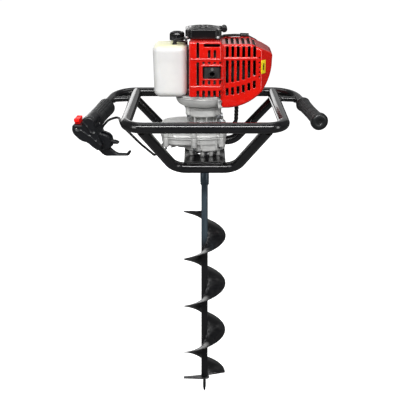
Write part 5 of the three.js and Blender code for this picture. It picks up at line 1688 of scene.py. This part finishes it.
def build_controls():
    """The grips and everything in the left hand, which is made in the handle's own frame."""
    origin, axes = handle_frame(1)
    piece("right_grip_ribbed", in_frame(right_grip(), origin, axes), "frame", "grip_rubber", ["right_grip"])
    origin, axes = handle_frame(-1)
    left = lambda mesh_data: in_frame(mesh_data, origin, axes)
    piece("left_grip_ribbed", left(left_grip()), "frame", "grip_rubber", ["left_grip"])
    piece("throttle_case", left(mesh_form(throttle_housing(), 0.8)), "frame", "control_moulding",
          ["throttle_housing"])
    piece("trigger_lever", left(mesh_form(trigger(), 0.6)), "trigger", "control_moulding",
          ["throttle_trigger"])
    piece("stop_rocker", left(mesh_form(stop_rocker(), 0.5)), "kill_switch", "switch_red", ["stop_switch"])
    screws = [socket_screw((-29, -14, FRONT - 0.6), UP, 2.6, 1.6),
              socket_screw((13, -20, FRONT - 0.6), UP, 2.2, 1.4)]
    fasteners("throttle_case_screws", [left(screw) for screw in screws])
    clamp_screw = socket_screw((15.6, -10, BACK + 12), (0.95, 0.3, 0), 2.4, 1.6)
    fasteners("clamp_screw", [left(clamp_screw)])
    piece("throttle_cable_sheath", throttle_cable(), "frame", "seal_rubber", ["throttle_cable"])


# ---- CAD parts that stay ------------------------------------------------------------------------------
def finish_cad_nodes():
    """Gives every CAD node its slot's material and softens its edges. The cylinder gets the muffler's black
    instead, as painted shade that keeps it dark behind the cover's slots.
    """
    for entry in frame["record"]["subparts"]:
        node = frame["nodes"][entry["node"]]
        node.data.materials.clear()
        # Painted shade: the cylinder is made black so that it shows dark through the cover's slots.
        slot = "muffler_black" if entry["node"] == "cylinder" else entry["material_slot"]
        node.data.materials.append(LOOKS[slot])
        if not node.hide_render:
            soften = node.modifiers.new("edges", "BEVEL")
            soften.width = 0.4 * MM
            soften.segments = 2
            soften.angle_limit = math.radians(35)


# ---- Floor, light and camera ----------------------------------------------------------------------------
CAMERA_DISTANCE = 3.05
CAMERA_PITCH = math.radians(15)
CAMERA_TARGET = Vector((-0.011, 0.0, 0.490))
CAMERA_LENS = 114.93
SENSOR = 36
ROOM_DIFFUSE = 0.32     # strength of the sky that lights matte surfaces
ROOM_GLOSSY = 0.10      # strength of the room that glossy surfaces reflect
LIGHTS_AT = (0, 0, 0.7)
# name, place, width and height in metres, power in watts
LIGHTS = [
    ("front_strip", (0.0, -2.1, 2.35), 3.4, 0.36, 80),
    ("key_left", (-1.9, -1.7, 1.3), 0.8, 1.5, 15),
    ("fill_right", (2.2, -1.4, 0.9), 0.5, 1.4, 10),
    ("top", (0.0, 0.3, 2.9), 1.6, 0.7, 8),
    ("back_sheen", (0.0, 2.6, 2.1), 3.4, 2.2, 8),
    ("rear_fill", (-0.9, 2.6, 1.0), 1.6, 1.6, 14),
]
FLOOR_Z = -0.0005
FLOOR_LEFT, FLOOR_RIGHT, FLOOR_NEAR, FLOOR_FAR = -12, 12, -8, 40


def stage_plane(name, corners):
    mesh = bpy.data.meshes.new(name)
    mesh.from_pydata(corners, [], [tuple(range(len(corners)))])
    obj = bpy.data.objects.new(name, mesh)
    bpy.context.scene.collection.objects.link(obj)
    mesh.materials.append(LOOKS["floor_paper"])


def softbox(name, place, target, width, height, power):
    data = bpy.data.lights.new(name, "AREA")
    data.shape = "RECTANGLE"
    data.size, data.size_y = width, height
    data.energy = power
    obj = bpy.data.objects.new(name, data)
    bpy.context.scene.collection.objects.link(obj)
    obj.location = place
    obj.rotation_mode = "QUATERNION"
    obj.rotation_quaternion = (Vector(target) - Vector(place)).to_track_quat("-Z", "Y")


def studio_world():
    """White for the camera, a soft sky for diffuse light, and a nearly dark room for reflections."""
    world = bpy.data.worlds.new("studio")
    world.use_nodes = True
    tree = world.node_tree
    backdrop = tree.nodes["Background"]
    backdrop.inputs["Color"].default_value = (1, 1, 1, 1)
    room = tree.nodes.new("ShaderNodeBackground")
    room.inputs["Color"].default_value = (1, 1, 1, 1)
    path = tree.nodes.new("ShaderNodeLightPath")
    level = tree.nodes.new("ShaderNodeMapRange")
    level.inputs["To Min"].default_value = ROOM_DIFFUSE
    level.inputs["To Max"].default_value = ROOM_GLOSSY
    tree.links.new(path.outputs["Is Glossy Ray"], level.inputs["Value"])
    tree.links.new(level.outputs[0], room.inputs["Strength"])
    switch = seen_by_camera(tree, backdrop, room)
    tree.links.new(switch.outputs[0], tree.nodes["World Output"].inputs["Surface"])
    return world


def build_stage():
    stage_plane("floor", [(FLOOR_LEFT, FLOOR_NEAR, FLOOR_Z), (FLOOR_RIGHT, FLOOR_NEAR, FLOOR_Z),
                          (FLOOR_RIGHT, FLOOR_FAR, FLOOR_Z), (FLOOR_LEFT, FLOOR_FAR, FLOOR_Z)])
    scene = bpy.context.scene
    scene.world = studio_world()
    scene.view_settings.view_transform = "Standard"
    scene.view_settings.look = "None"
    for name, place, width, height, power in LIGHTS:
        softbox(name, place, LIGHTS_AT, width, height, power)


def build_camera():
    data = bpy.data.cameras.new("camera")
    data.lens = CAMERA_LENS
    data.sensor_width = SENSOR
    camera = bpy.data.objects.new("camera", data)
    bpy.context.scene.collection.objects.link(camera)
    back = Vector((0, -math.cos(CAMERA_PITCH), math.sin(CAMERA_PITCH)))
    camera.location = CAMERA_TARGET + back * CAMERA_DISTANCE
    camera.rotation_mode = "QUATERNION"
    camera.rotation_quaternion = (-back).to_track_quat("-Z", "Y")
    bpy.context.scene.camera = camera


make_looks()
build_bit()
build_gearbox()
build_lower_engine()
build_shroud()
build_tank()
build_starter()
build_intake()
build_frame()
build_controls()
finish_cad_nodes()
build_stage()
build_camera()
